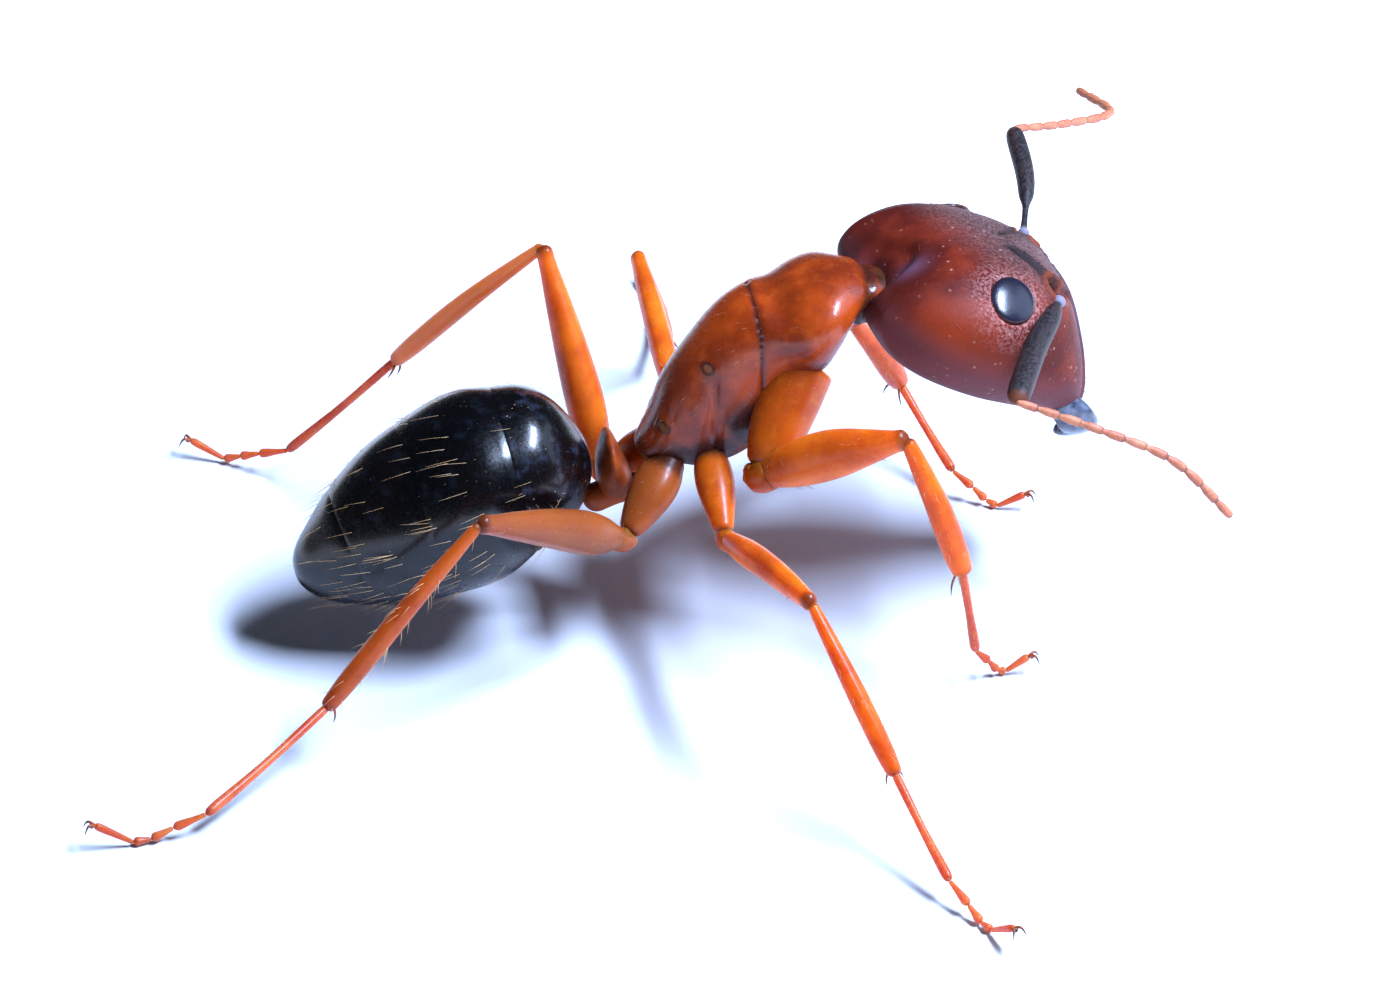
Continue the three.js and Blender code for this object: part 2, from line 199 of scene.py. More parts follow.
class Finish:
    """The nodes of one material, or of the sky."""

    def __init__(self, name, kind="materials"):
        self.owner = getattr(bpy.data, kind).new(name)
        self.owner.use_nodes = True
        self.tree = self.owner.node_tree
        self.tree.nodes.clear()

    def node(self, kind, settings, inputs, output=0):
        """A node of a type with its settings, then the values or links of its sockets."""
        made = self.tree.nodes.new(kind)
        for name, value in settings.items():
            setattr(made, name, value)
        for place, value in inputs.items():
            if isinstance(value, Signal):
                self.tree.links.new(value.socket, made.inputs[place])
            else:
                made.inputs[place].default_value = value
        return Signal(self, made.outputs[output]) if made.outputs else None

    def place(self):
        """Where a point is, in metres."""
        return self.node("ShaderNodeTexCoord", {}, {}, "Object")

    def marked(self, name):
        """The number that every vertex keeps under this name."""
        return self.node("ShaderNodeAttribute", {"attribute_name": name}, {}, "Fac")

    def cloud(self, grain, detail=3.0, roughness=0.55):
        """Soft noise whose blotches are about grain millimetres across."""
        scale = 1 / (grain * MM)
        inputs = {"Vector": self.place(), "Scale": scale, "Detail": detail, "Roughness": roughness}
        return self.node("ShaderNodeTexNoise", {}, inputs, "Fac")

    def cells(self, grain, feature="F1"):
        """Distance to the nearest of many points about grain millimetres apart."""
        inputs = {"Vector": self.place(), "Scale": 1 / (grain * MM)}
        return self.node("ShaderNodeTexVoronoi", {"feature": feature}, inputs, "Distance")

    def mix(self, factor, first, second):
        """A colour between two colours."""
        inputs = {0: factor, 6: first, 7: second}
        return self.node("ShaderNodeMix", {"data_type": "RGBA"}, inputs, 2)

    def bumps(self, height, depth, strength=1.0, normal=None):
        """A normal that tilts with the height, whose full swing is depth millimetres."""
        inputs = {"Height": height, "Distance": depth * MM, "Strength": strength}
        if normal:
            inputs["Normal"] = normal
        return self.node("ShaderNodeBump", {}, inputs, "Normal")

    def shell(self, **inputs):
        """Closes the finish with one principled shader and returns the material."""
        named = {}
        for name, value in inputs.items():
            named[name.replace("_", " ").title().replace("Ior", "IOR")] = value
        shader = self.node("ShaderNodeBsdfPrincipled", {}, named)
        self.node("ShaderNodeOutputMaterial", {}, {"Surface": shader})
        return self.owner


HEAD_PITCH = math.radians(37)
HEAD_YAW = math.radians(5)
HEAD_LENGTH = 4.4
NAPE_HOLLOW = 0.42
EYES_FROM_NAPE = Vector((1.91, 0, 1.32))
EYE_HALF = Vector((0.375, 0.405, 0.15))
EYE_SPOTS = {1: Vector((1.74, 1.74, 1.105)), -1: Vector((1.74, -1.46, 1.345))}
EYE_LEANS = {1: math.radians(54), -1: math.radians(37)}
EYE_TURN = math.radians(20)
EYE_RIM_HIGH = 0.022
EYE_GROOVE_DEEP = 0.03
SOCKET = Vector((2.62, 0.82))
SOCKET_DEEP = 0.13
SOCKET_WIDE = 0.17
SOCKET_RIM_HIGH = 0.035
RIDGE_START = 1.7
RIDGE_END = 3.1
RIDGE_HIGH = 0.055
RIDGE_WIDE = 0.05
GROOVE_DEEP = 0.11
GROOVE_WIDE = 0.08
GROOVE_AWAY = 0.13
SHIELD_START = 3.0
SHIELD_HIGH = 0.045
SHIELD_GROOVE = 0.03
KEEL_HIGH = 0.03
MIDLINE_DEEP = 0.014
NAPE_DIP = 0.06
NECK_RIM_HIGH = 0.04
NECK_DIP = 0.05
FACE_START = 1.0
HEAD_UNEVEN = 0.012

head_turn = Matrix.Rotation(HEAD_YAW, 4, "Z") @ Matrix.Rotation(HEAD_PITCH, 4, "Y")
head_nape = (middle("eye_left") + middle("eye_right")) / 2 - head_turn @ EYES_FROM_NAPE
head_place = Matrix.Translation(head_nape) @ head_turn


def eye_place(side):
    """The eye's own place in the head: its long axis along x and its outward axis along z."""
    turn = Matrix.Rotation(side * EYE_TURN, 4, "Z") @ Matrix.Rotation(-side * EYE_LEANS[side], 4, "X")
    return Matrix.Translation(EYE_SPOTS[side]) @ turn


eye_views = {side: eye_place(side).inverted() for side in (1, -1)}


def eye_ring(spot):
    """How far a place in the head is from the nearer eye's middle, as a share of the eye's size."""
    own = eye_views[1 if spot.y > 0 else -1] @ spot
    if own.z < -0.3:
        return 9.0
    return math.hypot(own.x / EYE_HALF.x, own.y / EYE_HALF.y)


ridge_line = profile((RIDGE_START, 0.04), (1.9, 0.14), (2.07, 0.28), (2.25, 0.44), (2.45, 0.57),
                     (2.65, 0.62), (2.9, 0.5), (RIDGE_END, 0.4))


def beside_ridge(spot):
    """How far outside its side's frontal ridge a place in the head lies."""
    return abs(spot.y) - ridge_line(min(max(spot.x, RIDGE_START), RIDGE_END))


def from_socket(spot):
    """How far a place in the head is from the middle of its side's antennal socket."""
    return math.hypot(spot.x - SOCKET.x, abs(spot.y) - SOCKET.y)


def shield_edge(spot):
    """Distance inward from the edge of the clypeus, the shield above the jaws."""
    ahead = spot.x - SHIELD_START
    return min(ahead, 0.5 + ahead * 0.42 - abs(spot.y))


def face_relief(spot):
    """The ridges and their grooves, the sockets, the shield with its keel, and the fine middle line."""
    side = abs(spot.y)
    beside = beside_ridge(spot)
    reach = ease(RIDGE_START, 2.1, spot.x) * (1 - ease(2.98, 3.12, spot.x))
    height = RIDGE_HIGH * reach * hump(beside, RIDGE_WIDE)
    height -= GROOVE_DEEP * reach * ease(1.6, 2.4, spot.x) * hump(beside - GROOVE_AWAY, GROOVE_WIDE)
    socket = from_socket(spot)
    height += SOCKET_RIM_HIGH * hump(socket - 0.23, 0.055)
    height -= SOCKET_DEEP * math.exp(-((socket / SOCKET_WIDE) ** 4))
    shield = shield_edge(spot)
    height += SHIELD_HIGH * ease(-0.02, 0.1, shield) - SHIELD_GROOVE * hump(shield, 0.035)
    height += KEEL_HIGH * ease(3.1, 3.5, spot.x) * hump(side, 0.07)
    middle_line = ease(FACE_START, 1.3, spot.x) * (1 - ease(2.6, 2.9, spot.x)) * hump(side, 0.022)
    return height - MIDLINE_DEEP * middle_line


def head_relief(spot):
    """How far each place of the head rises from its plain outline."""
    height = 0.0
    if spot.x > FACE_START:
        face = ease(0.55, 1.0, spot.z - 0.25 * (2.4 - spot.x))
        height += face_relief(spot) * face
    ring = eye_ring(spot)
    height += EYE_RIM_HIGH * hump(ring - 1.16, 0.09) - EYE_GROOVE_DEEP * hump(ring - 1.0, 0.06)
    nape = hump(spot.x - 0.42, 0.16) * hump(abs(spot.y) - 0.1, 0.3) * hump(spot.z - 0.2, 0.3)
    height -= NAPE_DIP * nape
    if spot.x < FACE_START:
        from_neck = math.hypot(spot.y, spot.z - 0.35)
        height += NECK_RIM_HIGH * hump(from_neck - 0.65, 0.14) - NECK_DIP * hump(from_neck - 0.4, 0.14)
    return height + HEAD_UNEVEN * noise.noise(spot * 1.1)


def head_blank(bm):
    """The head's plain outline, hollowed at the nape."""
    swell(
        bm,
        length=HEAD_LENGTH,
        top=profile((0, 0.75), (0.1, 1.12), (0.2, 1.38), (0.36, 1.63), (0.52, 1.77), (0.68, 1.64),
                    (0.82, 1.22), (0.93, 0.74), (1, 0.4)),
        bottom=profile((0, -0.54), (0.08, -0.62), (0.2, -0.7), (0.36, -0.69), (0.55, -0.59),
                       (0.72, -0.45), (0.9, -0.28), (1, -0.16)),
        half=profile((0, 1.72), (0.1, 1.84), (0.22, 1.96), (0.38, 1.98), (0.55, 1.87), (0.72, 1.62),
                     (0.88, 1.36), (1, 1.2)),
        blunt=3.2,
        square=1.12,
    )
    for v in bm.verts:
        s = v.co.x / HEAD_LENGTH
        v.co.x += NAPE_HOLLOW * (1 - s) ** 4 * (1 - min(abs(v.co.y) / 1.2, 1) ** 2)


def painted_groove_shade(spot):
    """Where the head is painted nearly black as shade: in the grooves by the ridges, in the sockets and
    along the shield's edge.
    """
    if spot.z < 0.9 or spot.x < 1.6:
        return 0.0
    wide = 0.08 + 0.16 * ease(1.8, 2.4, spot.x)
    away = beside_ridge(spot) - 0.1 - 0.08 * ease(2.0, 2.5, spot.x)
    groove = ease(1.72, 1.9, spot.x) * (1 - ease(2.65, 2.85, spot.x)) * hump(away, wide)
    pit = hump(from_socket(spot), 0.19)
    edge = 0.6 * hump(shield_edge(spot), 0.04)
    return max(groove, pit, edge)


HEAD_MARKS = {
    # Painted shade in the grooves, the socket pits and along the shield's edge.
    "dark": painted_groove_shade,
    "rim": lambda p: 0.8 * hump(from_socket(p) - 0.25, 0.045) * ease(1.1, 1.3, p.z),
    # A painted sheen: slate tint on the shield above the jaws.
    "front": lambda p: ease(2.95, 3.3, p.x) * (1 - ease(0.4, 1.1, abs(p.y))) * ease(0.0, 0.5, p.z),
    # Painted reflection of the bright floor, purple on the head's lower part.
    "under": lambda p: 1 - ease(-0.15, 0.45, p.z - 0.12 * p.x),
    # A painted lilac highlight on the near side of the nape.
    "nape": lambda p: hump(math.hypot(p.y + 0.5, p.z - 0.7), 0.24) * (1 - ease(0.6, 1.0, p.x)),
    "crown": lambda p: ease(1.15, 1.75, p.z + 0.2 * p.y) * (1 - ease(3.0, 3.4, p.x)),
    # Pink specks of painted highlight round each eye.
    "near_eye": lambda p: hump(eye_ring(p) - 1.0, 0.75),
    "cheek": lambda p: ease(1.2, 1.75, abs(p.y)) * hump(p.x - 1.2, 0.9) * hump(p.z - 0.4, 0.5),
}


def head_finish():
    """Dark mahogany, redder on the cheeks and ashen on the crown, with painted light and shade: pink
    highlight specks by the eyes, a slate sheen above the jaws, a lilac sheen at the nape, a purple floor
    reflection below and black shade in the grooves.
    """
    skin = Finish("head_cuticle")
    crown = skin.marked("crown")
    near_eye = skin.marked("near_eye")
    blotch = skin.cloud(0.9, detail=4.0)
    grain = skin.cloud(0.05, detail=5.0, roughness=0.7)
    red = skin.mix(blotch.ramp(0.36, 0.66), (0.075, 0.008, 0.005, 1), (0.17, 0.019, 0.007, 1))
    red = skin.mix(skin.marked("cheek") * 0.6, red, (0.27, 0.03, 0.005, 1))
    # Painted reflection: the floor's purple-tinted reflection on the lower part of the head.
    red = skin.mix(skin.marked("under") * 0.75, red, (0.14, 0.04, 0.045, 1))
    # Painted highlight: pale pink specks round the eyes, scattered on the grain.
    red = skin.mix(near_eye * grain.ramp(0.42, 0.62) * 0.85, red, (0.4, 0.17, 0.15, 1))
    ashen = skin.mix(grain.ramp(0.35, 0.7), (0.04, 0.022, 0.022, 1), (0.2, 0.11, 0.1, 1))
    red = skin.mix(crown * 0.85, red, ashen)
    specks = skin.cells(0.16).ramp(0.1, 0.2, 1.0, 0.0) * skin.cloud(0.5).ramp(0.45, 0.62)
    red = skin.mix(specks * 0.5, red, (0.5, 0.27, 0.19, 1))
    # Painted shade: the grooves, socket pits and the shield's edge go nearly black.
    red = skin.mix(skin.marked("dark"), red, (0.008, 0.005, 0.006, 1))
    red = skin.mix(skin.marked("rim"), red, (0.24, 0.045, 0.014, 1))
    # Painted sheen: a bluish slate tint on the shield above the jaws.
    slate = skin.marked("front") * grain.ramp(0.3, 0.6, 0.35, 0.75)
    red = skin.mix(slate, red, (0.075, 0.07, 0.1, 1))
    # Painted highlight: a lilac sheen on the near side of the nape.
    red = skin.mix(skin.marked("nape") * 0.45, red, (0.16, 0.1, 0.16, 1))
    pebble = skin.bumps(grain, 0.006)
    pebble = skin.bumps(specks, 0.01, 0.5, pebble)
    return skin.shell(
        base_color=red,
        roughness=grain.ramp(0.3, 0.75, 0.46, 0.64) + crown * 0.05,
        normal=pebble,
        specular_ior_level=0.1,
    )


head = ball(300, 150)
head_blank(head)
press(head, head_relief)
for name, strength in HEAD_MARKS.items():
    mark(head, name, lambda v: strength(v.co))
head_skin = head.copy()
piece(head, "head_capsule", head_place, head_finish(), ["head"])


# ---------------------------------------------------------------------------
# Compound eyes. Each is a low black dome of hundreds of lens facets, sunk in a shallow ring and polished
# like glass. It is a flattened ball set in the head, with the facets pressed in.
# ---------------------------------------------------------------------------

EYE_RISE = -0.02
EYE_DOME = 0.65


def eye_finish():
    """Black glass over fine facets, reddish at the rim."""
    lens = Finish("eye_lenses")
    facets = lens.cells(0.028)
    tint = lens.mix(facets.ramp(0.1, 0.6), (0.006, 0.006, 0.012, 1), (0.012, 0.011, 0.022, 1))
    rim = lens.marked("rim")
    tint = lens.mix(rim, tint, (0.06, 0.012, 0.008, 1))
    return lens.shell(
        base_color=tint,
        roughness=0.26 + rim * 0.2,
        normal=lens.bumps(facets, 0.002, 0.6),
        coat_weight=0.35,
        coat_roughness=0.2,
        specular_ior_level=0.35,
    )


lens_material = eye_finish()
for side, name in ((1, "eye_left"), (-1, "eye_right")):
    eye = ball(64, 40)
    mark(eye, "rim", lambda v: ease(0.94, 1.0, math.hypot(v.co.x, v.co.y)))
    flatten = Matrix.Diagonal((EYE_HALF.x, EYE_HALF.y, EYE_HALF.z * EYE_DOME, 1))
    eye.transform(Matrix.Translation((0, 0, EYE_RISE)) @ flatten)
    piece(eye, name + "_lenses", head_place @ eye_place(side), lens_material, [name])


# ---------------------------------------------------------------------------
# Antennae. A long flattened scape turns on a ball in the head's socket, and carries a whip of eleven
# short segments. Both are tubes swept along a line, their thickness following the segments.
# ---------------------------------------------------------------------------

LIMB_ROUND = 0.27
ELBOW_ROUND = 0.29
SCAPE_ROOT = Vector((2.68, 0.98, 1.6))
ELBOW_SHIFTS = {"left": Vector((0.18, 0, 0.05)), "right": Vector((-0.12, 0, 0.0))}
NEAR_SCAPE_WIDE = profile((0, 0.09), (0.035, 0.115), (0.075, 0.085), (0.14, 0.14), (0.24, 0.175),
                          (0.5, 0.185), (0.85, 0.19), (0.95, 0.175), (1, 0.13))
NEAR_SCAPE_DEEP = profile((0, 0.09), (0.035, 0.11), (0.075, 0.08), (0.14, 0.135), (0.24, 0.165),
                          (0.9, 0.17), (1, 0.12))
FAR_SCAPE = profile((0, 0.08), (0.035, 0.1), (0.075, 0.06), (0.27, 0.055), (0.38, 0.12), (0.6, 0.15),
                    (0.9, 0.15), (1, 0.11))
SCAPE_SHAPES = {"left": (FAR_SCAPE, FAR_SCAPE), "right": (NEAR_SCAPE_WIDE, NEAR_SCAPE_DEEP)}
SCAPE_BOWS = {"left": Vector((0.12, 0, 0.02)), "right": head_turn @ Vector((-0.05, 0, -0.02))}
WHIP_SEGMENTS = 11
WHIP_NARROWING = 0.42
WHIP_THICK = profile((0, 0.062), (0.2, 0.068), (0.6, 0.072), (0.9, 0.074), (1, 0.062))


def course(*points):
    """A smooth line through points: gives the spot and the direction at any place from 0 to 1."""
    step = 0.004
    reached = [0.0]
    for a, b in zip(points, points[1:]):
        reached.append(reached[-1] + (b - a).length)
    axes = [profile(*[(r / reached[-1], p[i]) for r, p in zip(reached, points)]) for i in range(3)]

    def spot(place):
        return Vector([axis(place) for axis in axes])

    def at(place):
        return spot(place), (spot(place + step) - spot(place - step)).normalized()

    at.length = reached[-1]
    return at


def sleeve(line, wide, deep=None, sides=20, rings=48, hint=(0, 0, 1), rounding=None):
    """A closed tube along a line. wide and deep are its half thickness across and in the hint's plane."""
    deep = deep or wide
    bm = ball(sides, rings)
    along = bm.verts.layers.float["along"]
    for v in bm.verts:
        s = v[along]
        spot, forward = line(s)
        side = Vector(hint).cross(forward).normalized()
        over = forward.cross(side)
        ring = math.hypot(v.co.x, v.co.y)
        near = min(s, 1 - s) * line.length
        cap = rounding or min(wide(s), deep(s))
        close = math.sqrt(1 - (1 - near / cap) ** 2) if near < cap else 1.0
        reach = close / ring if ring > 1e-6 else 0.0
        v.co = spot + side * v.co.x * reach * wide(s) + over * v.co.y * reach * deep(s)
    return bm


def corners(node):
    """Every corner of a node's solid, in millimetres."""
    return [v.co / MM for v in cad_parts[node].data.vertices]


def farthest(node, start):
    """The corner of a node's solid that is farthest from a spot."""
    return max(corners(node), key=lambda spot: (spot - start).length)


def joint(node, start, round_end=LIMB_ROUND):
    """The joint at a limb's far end, a half thickness inside its round tip."""
    tip = farthest(node, start)
    return tip - (tip - start).normalized() * round_end


def scape_finish():
    """Slate grey down over black, rusty at the elbow and pale at the ball."""
    slate = Finish("scape_cuticle")
    down = slate.cloud(0.05, detail=5.0, roughness=0.75)
    patch = slate.cloud(0.4)
    grey = slate.mix(down.ramp(0.35, 0.72), (0.008, 0.006, 0.007, 1), (0.055, 0.042, 0.042, 1))
    grey = slate.mix(patch.ramp(0.5, 0.75, 0.0, 0.5), grey, (0.07, 0.03, 0.022, 1))
    along = slate.marked("along")
    grey = slate.mix(along.ramp(0.93, 1.0), grey, (0.16, 0.045, 0.02, 1))
    grey = slate.mix(along.ramp(0.05, 0.09, 1.0, 0.0), grey, (0.22, 0.19, 0.25, 1))
    return slate.shell(
        base_color=grey,
        roughness=down.ramp(0.3, 0.7, 0.38, 0.58),
        normal=slate.bumps(down, 0.006),
        specular_ior_level=0.2,
    )


def whip_finish():
    """Downy rose brown, dark between the segments."""
    downy = Finish("whip_cuticle")
    down = downy.cloud(0.035, detail=5.0, roughness=0.75)
    patch = downy.cloud(0.3)
    rose = downy.mix(patch.ramp(0.35, 0.65), (0.42, 0.11, 0.045, 1), (0.55, 0.18, 0.08, 1))
    rose = downy.mix(down.ramp(0.45, 0.75, 0.0, 0.5), rose, (0.7, 0.36, 0.22, 1))
    rose = downy.mix(downy.marked("joint") * 0.75, rose, (0.09, 0.022, 0.012, 1))
    return downy.shell(
        base_color=rose,
        roughness=down.ramp(0.3, 0.7, 0.42, 0.62),
        normal=downy.bumps(down, 0.004),
        subsurface_weight=0.25,
        subsurface_radius=(0.06 * MM, 0.025 * MM, 0.012 * MM),
        subsurface_scale=1.0,
    )


def whip_place(s):
    """How far along its own segment a place on the whip is."""
    return min(s * WHIP_SEGMENTS, WHIP_SEGMENTS - 1e-6) % 1


def whip_radius(s):
    u = whip_place(s)
    swelling = 0.68 + 0.32 * ease(0.0, 0.45, u)
    return WHIP_THICK(s) * swelling * (1 - WHIP_NARROWING * ease(0.9, 1.0, u))


scape_material = scape_finish()
whip_material = whip_finish()
for side, outward in (("left", 1), ("right", -1)):
    elbow = joint("antenna_" + side + "_scape", middle("head"), ELBOW_ROUND) + ELBOW_SHIFTS[side]
    root = head_place @ Vector((SCAPE_ROOT.x, outward * SCAPE_ROOT.y, SCAPE_ROOT.z))
    bow = (root + elbow) / 2 + SCAPE_BOWS[side]
    wide, deep = SCAPE_SHAPES[side]
    scape = sleeve(course(root, bow, elbow), wide, deep, sides=28, rings=90)
    nodes = ["antenna_" + side + "_scape"]
    piece(scape, "scape_" + side, Matrix(), scape_material, nodes)
    nodes = ["antenna_%s_flagellum_%d" % (side, third) for third in (1, 2, 3)]
    bends = [elbow]
    for node in nodes:
        tip = farthest(node, bends[-1])
        bends.append(tip - (tip - middle(node)).normalized() * LIMB_ROUND)
    whip = sleeve(course(*bends), whip_radius, sides=16, rings=240)
    along = whip.verts.layers.float["along"]
    mark(whip, "joint", lambda v: hump(whip_place(v[along]) - 0.97, 0.09))
    piece(whip, "whip_" + side, Matrix(), whip_material, nodes)


# ---------------------------------------------------------------------------
# Jaws. A worker's mandible is a thick black blade, hinged at the corner of the head, bowed outward and
# toothed along its inner edge. Each is a flattened tube along a curve, with the teeth drawn out of it.
# ---------------------------------------------------------------------------

JAW_HINGE = Vector((3.7, 0.95, 0.2))
JAW_BOW = Vector((4.3, 0.95, 0.0))
JAW_TIP = Vector((4.78, 0.2, -0.34))
JAW_BROAD = profile((0, 0.22), (0.3, 0.29), (0.6, 0.31), (0.85, 0.19), (1, 0.05))
JAW_THICK = profile((0, 0.18), (0.4, 0.17), (0.8, 0.11), (1, 0.05))
JAW_FLAT = (-0.75, 0, -0.66)
JAW_TEETH = 5
TEETH_START = 0.42
TEETH_SPAN = 0.55
TOOTH_REACH = 0.09


def jaw_finish():
    """Black horn, polished along its fibres, tinted blue-grey by a painted reflection."""
    horn = Finish("jaw_horn")
    fibre = horn.cloud(0.12, detail=4.0)
    # Painted reflection: the black horn is tinted blue-grey.
    dark = horn.mix(fibre.ramp(0.35, 0.7), (0.022, 0.026, 0.045, 1), (0.085, 0.1, 0.155, 1))
    return horn.shell(
        base_color=dark,
        roughness=fibre.ramp(0.3, 0.7, 0.2, 0.36),
        normal=horn.bumps(fibre, 0.006),
        coat_weight=0.5,
        coat_roughness=0.12,
    )


jaw_material = jaw_finish()
for side, name in ((1, "mandible_left"), (-1, "mandible_right")):
    line = course(*[Vector((p.x, side * p.y, p.z)) for p in (JAW_HINGE, JAW_BOW, JAW_TIP)])
    jaw = sleeve(line, JAW_THICK, JAW_BROAD, sides=48, rings=90, hint=JAW_FLAT)
    along = jaw.verts.layers.float["along"]
    around = jaw.verts.layers.float["around"]
    for v in jaw.verts:
        inner = max(math.sin((v[around] - 0.5) * math.tau), 0) ** 3
        saw = (v[along] - TEETH_START) * JAW_TEETH / TEETH_SPAN
        if 0 < saw < JAW_TEETH:
            tooth = 1 - abs(2 * (saw % 1) - 1)
            v.co += (v.co - line(v[along])[0]).normalized() * inner * tooth * TOOTH_REACH
    piece(jaw, name + "_horn", head_place, jaw_material, [name])


# ---------------------------------------------------------------------------
# Thorax. Three glossy red-brown plates: the collar-like pronotum, the mesothorax and the humped
# propodeum, with their breathing holes. All are cut from one swollen body, and the edges roll in at the
# front suture.
# ---------------------------------------------------------------------------

THORAX_TURN = Matrix.Rotation(math.radians(-33), 4, "Y")
THORAX_LENGTH = 4.8
MESOTHORAX_FROM_REAR = Vector((1.864, 0, 0.419))
REAR_SUTURE = (1.3, 0.35)
FRONT_SUTURE = (2.2, -0.6)
SUTURE_WIDE = 0.07
SUTURE_DEEP = 0.06
COLLAR_FOLD = (4.3, -0.5)
COLLAR_FOLD_DEEP = 0.05
COLLAR_START = 4.52
FURROW_DEEP = 0.04
FURROW_LIP_HIGH = 0.03
SPIRACLES = ((0.6, 0.25), (1.73, 0.76))
SPIRACLE_SIZE = 0.075
SPIRACLE_RIM_HIGH = 0.012
THORAX_UNEVEN = 0.012
HIP_SOCKET_SHARE = 0.36

thorax_place = Matrix.Translation(middle("mesothorax") - THORAX_TURN @ MESOTHORAX_FROM_REAR) @ THORAX_TURN


def thorax_body(bm):
    """The thorax's plain outline, from its hind end to its collar."""
    swell(
        bm,
        length=THORAX_LENGTH,
        top=profile((0, 0.15), (0.095, 0.4), (0.19, 0.72), (0.33, 1.0), (0.475, 1.2), (0.59, 1.17),
                    (0.655, 1.0), (0.74, 0.95), (0.83, 0.82), (0.9, 0.61), (0.946, 0.34), (1, 0.05)),
        bottom=profile((0, -0.25), (0.076, -0.62), (0.19, -0.98), (0.303, -1.04), (0.408, -0.86),
                       (0.53, -0.52), (0.664, -0.44), (0.75, -0.24), (0.83, -0.04), (0.9, -0.1),
                       (0.946, -0.2), (1, -0.2)),
        half=profile((0, 0.5), (0.095, 0.62), (0.237, 0.72), (0.427, 0.82), (0.57, 0.92), (0.683, 1.12),
                     (0.796, 1.07), (0.88, 0.72), (0.94, 0.5), (1, 0.34)),
        blunt=4,
        square=1.08,
    )


def past(cut, spot):
    """How far in front of a slanting cut a place lies."""
    at, lean = cut
    return (spot.x + lean * spot.z - at) / math.hypot(1, lean)


def roll(distance, width, depth):
    """How far an edge is rolled in, at a distance from it."""
    if distance > width:
        return 0.0
    return -depth * (1 - math.sqrt(max(1 - (1 - max(distance, 0) / width) ** 2, 0)))


def trim(bm, cut, keep_front):
    """Cuts a body along a slanting plane, keeps one side and closes it."""
    at, lean = cut
    bmesh.ops.bisect_plane(bm, geom=bm.verts[:] + bm.edges[:] + bm.faces[:], dist=1e-5,
                           plane_co=(at, 0, 0), plane_no=(1, 0, lean),
                           clear_inner=keep_front, clear_outer=not keep_front)
    rim = [e for e in bm.edges if e.is_boundary]
    bmesh.ops.contextual_create(bm, geom=rim)
    for e in rim:
        e.smooth = False


def spiracle_ring(spot):
    """Distance from the nearer breathing hole's middle, as a share of its size."""
    return min(math.hypot(spot.x - x, spot.z - z) for x, z in SPIRACLES) / SPIRACLE_SIZE


def thorax_relief(spot):
    """How far each place of the thorax rises: rings round the holes, a slanting side furrow, the fold
    behind the collar and a slight unevenness."""
    side = abs(spot.y)
    height = THORAX_UNEVEN * noise.noise(spot * 1.3)
    if side > 0.3:
        height += SPIRACLE_RIM_HIGH * hump(spiracle_ring(spot) - 1.2, 0.6)
    if side > 0.4:
        furrow = spot.x - 1.35 - 0.63 * spot.z
        low_end = ease(-0.9, -0.5, spot.z)
        height -= FURROW_DEEP * hump(furrow, 0.06) * low_end * (1 - ease(0.45, 0.65, spot.z))
        height += FURROW_LIP_HIGH * hump(furrow + 0.3, 0.16) * low_end * (1 - ease(0.3, 0.6, spot.z))
    return height - COLLAR_FOLD_DEEP * hump(past(COLLAR_FOLD, spot), 0.06)


def thorax_finish():
    """Glossy red brown, darker below, nearly black round the breathing holes, and painted shade makes it
    nearly black in the front suture, round the hip sockets, at the hind end and under the front rim.
    """
    shell = Finish("thorax_cuticle")
    blotch = shell.cloud(1.0, detail=4.0)
    streak = shell.cloud(0.25, detail=4.0)
    grain = shell.cloud(0.06, detail=4.0)
    red = shell.mix(blotch.ramp(0.35, 0.65), (0.18, 0.019, 0.003, 1), (0.39, 0.048, 0.004, 1))
    red = shell.mix(shell.marked("low") * 0.6, red, (0.09, 0.011, 0.005, 1))
    red = shell.mix(streak.ramp(0.5, 0.75, 0.0, 0.35), red, (0.42, 0.075, 0.01, 1))
    # Painted shade: nearly black in the suture, round the hip sockets, at the hind end and under the
    # front rim.
    red = shell.mix(shell.marked("painted_shade"), red, (0.018, 0.006, 0.006, 1))
    gilt = shell.mix(streak.ramp(0.4, 0.6), (0.008, 0.004, 0.004, 1), (0.06, 0.018, 0.006, 1))
    red = shell.mix(shell.marked("collar"), red, gilt)
    size = SPIRACLE_SIZE * MM
    for x, z in SPIRACLES:
        spot = thorax_place @ Vector((x, 0, z)) * MM
        vector_math = "ShaderNodeVectorMath"
        apart = shell.node(vector_math, {"operation": "SUBTRACT"}, {0: shell.place(), 1: spot})
        flat = shell.node(vector_math, {"operation": "MULTIPLY"}, {0: apart, 1: (1, 0, 1)})
        away = shell.node(vector_math, {"operation": "LENGTH"}, {0: flat}, "Value")
        dark_ring = away.ramp(size * 1.1, size * 1.7, 1.0, 0.0)
        red = shell.mix(dark_ring * 0.75, red, (0.02, 0.006, 0.005, 1))
        red = shell.mix(away.ramp(size * 0.5, size, 1.0, 0.0), red, (0.2, 0.06, 0.02, 1))
    return shell.shell(
        base_color=red,
        roughness=grain.ramp(0.3, 0.7, 0.25, 0.4),
        normal=shell.bumps(grain, 0.004, 0.7),
        specular_ior_level=0.3,
        coat_weight=0.2,
        coat_roughness=0.1,
        subsurface_weight=0.08,
        subsurface_radius=(0.12 * MM, 0.04 * MM, 0.015 * MM),
        subsurface_scale=1.0,
    )


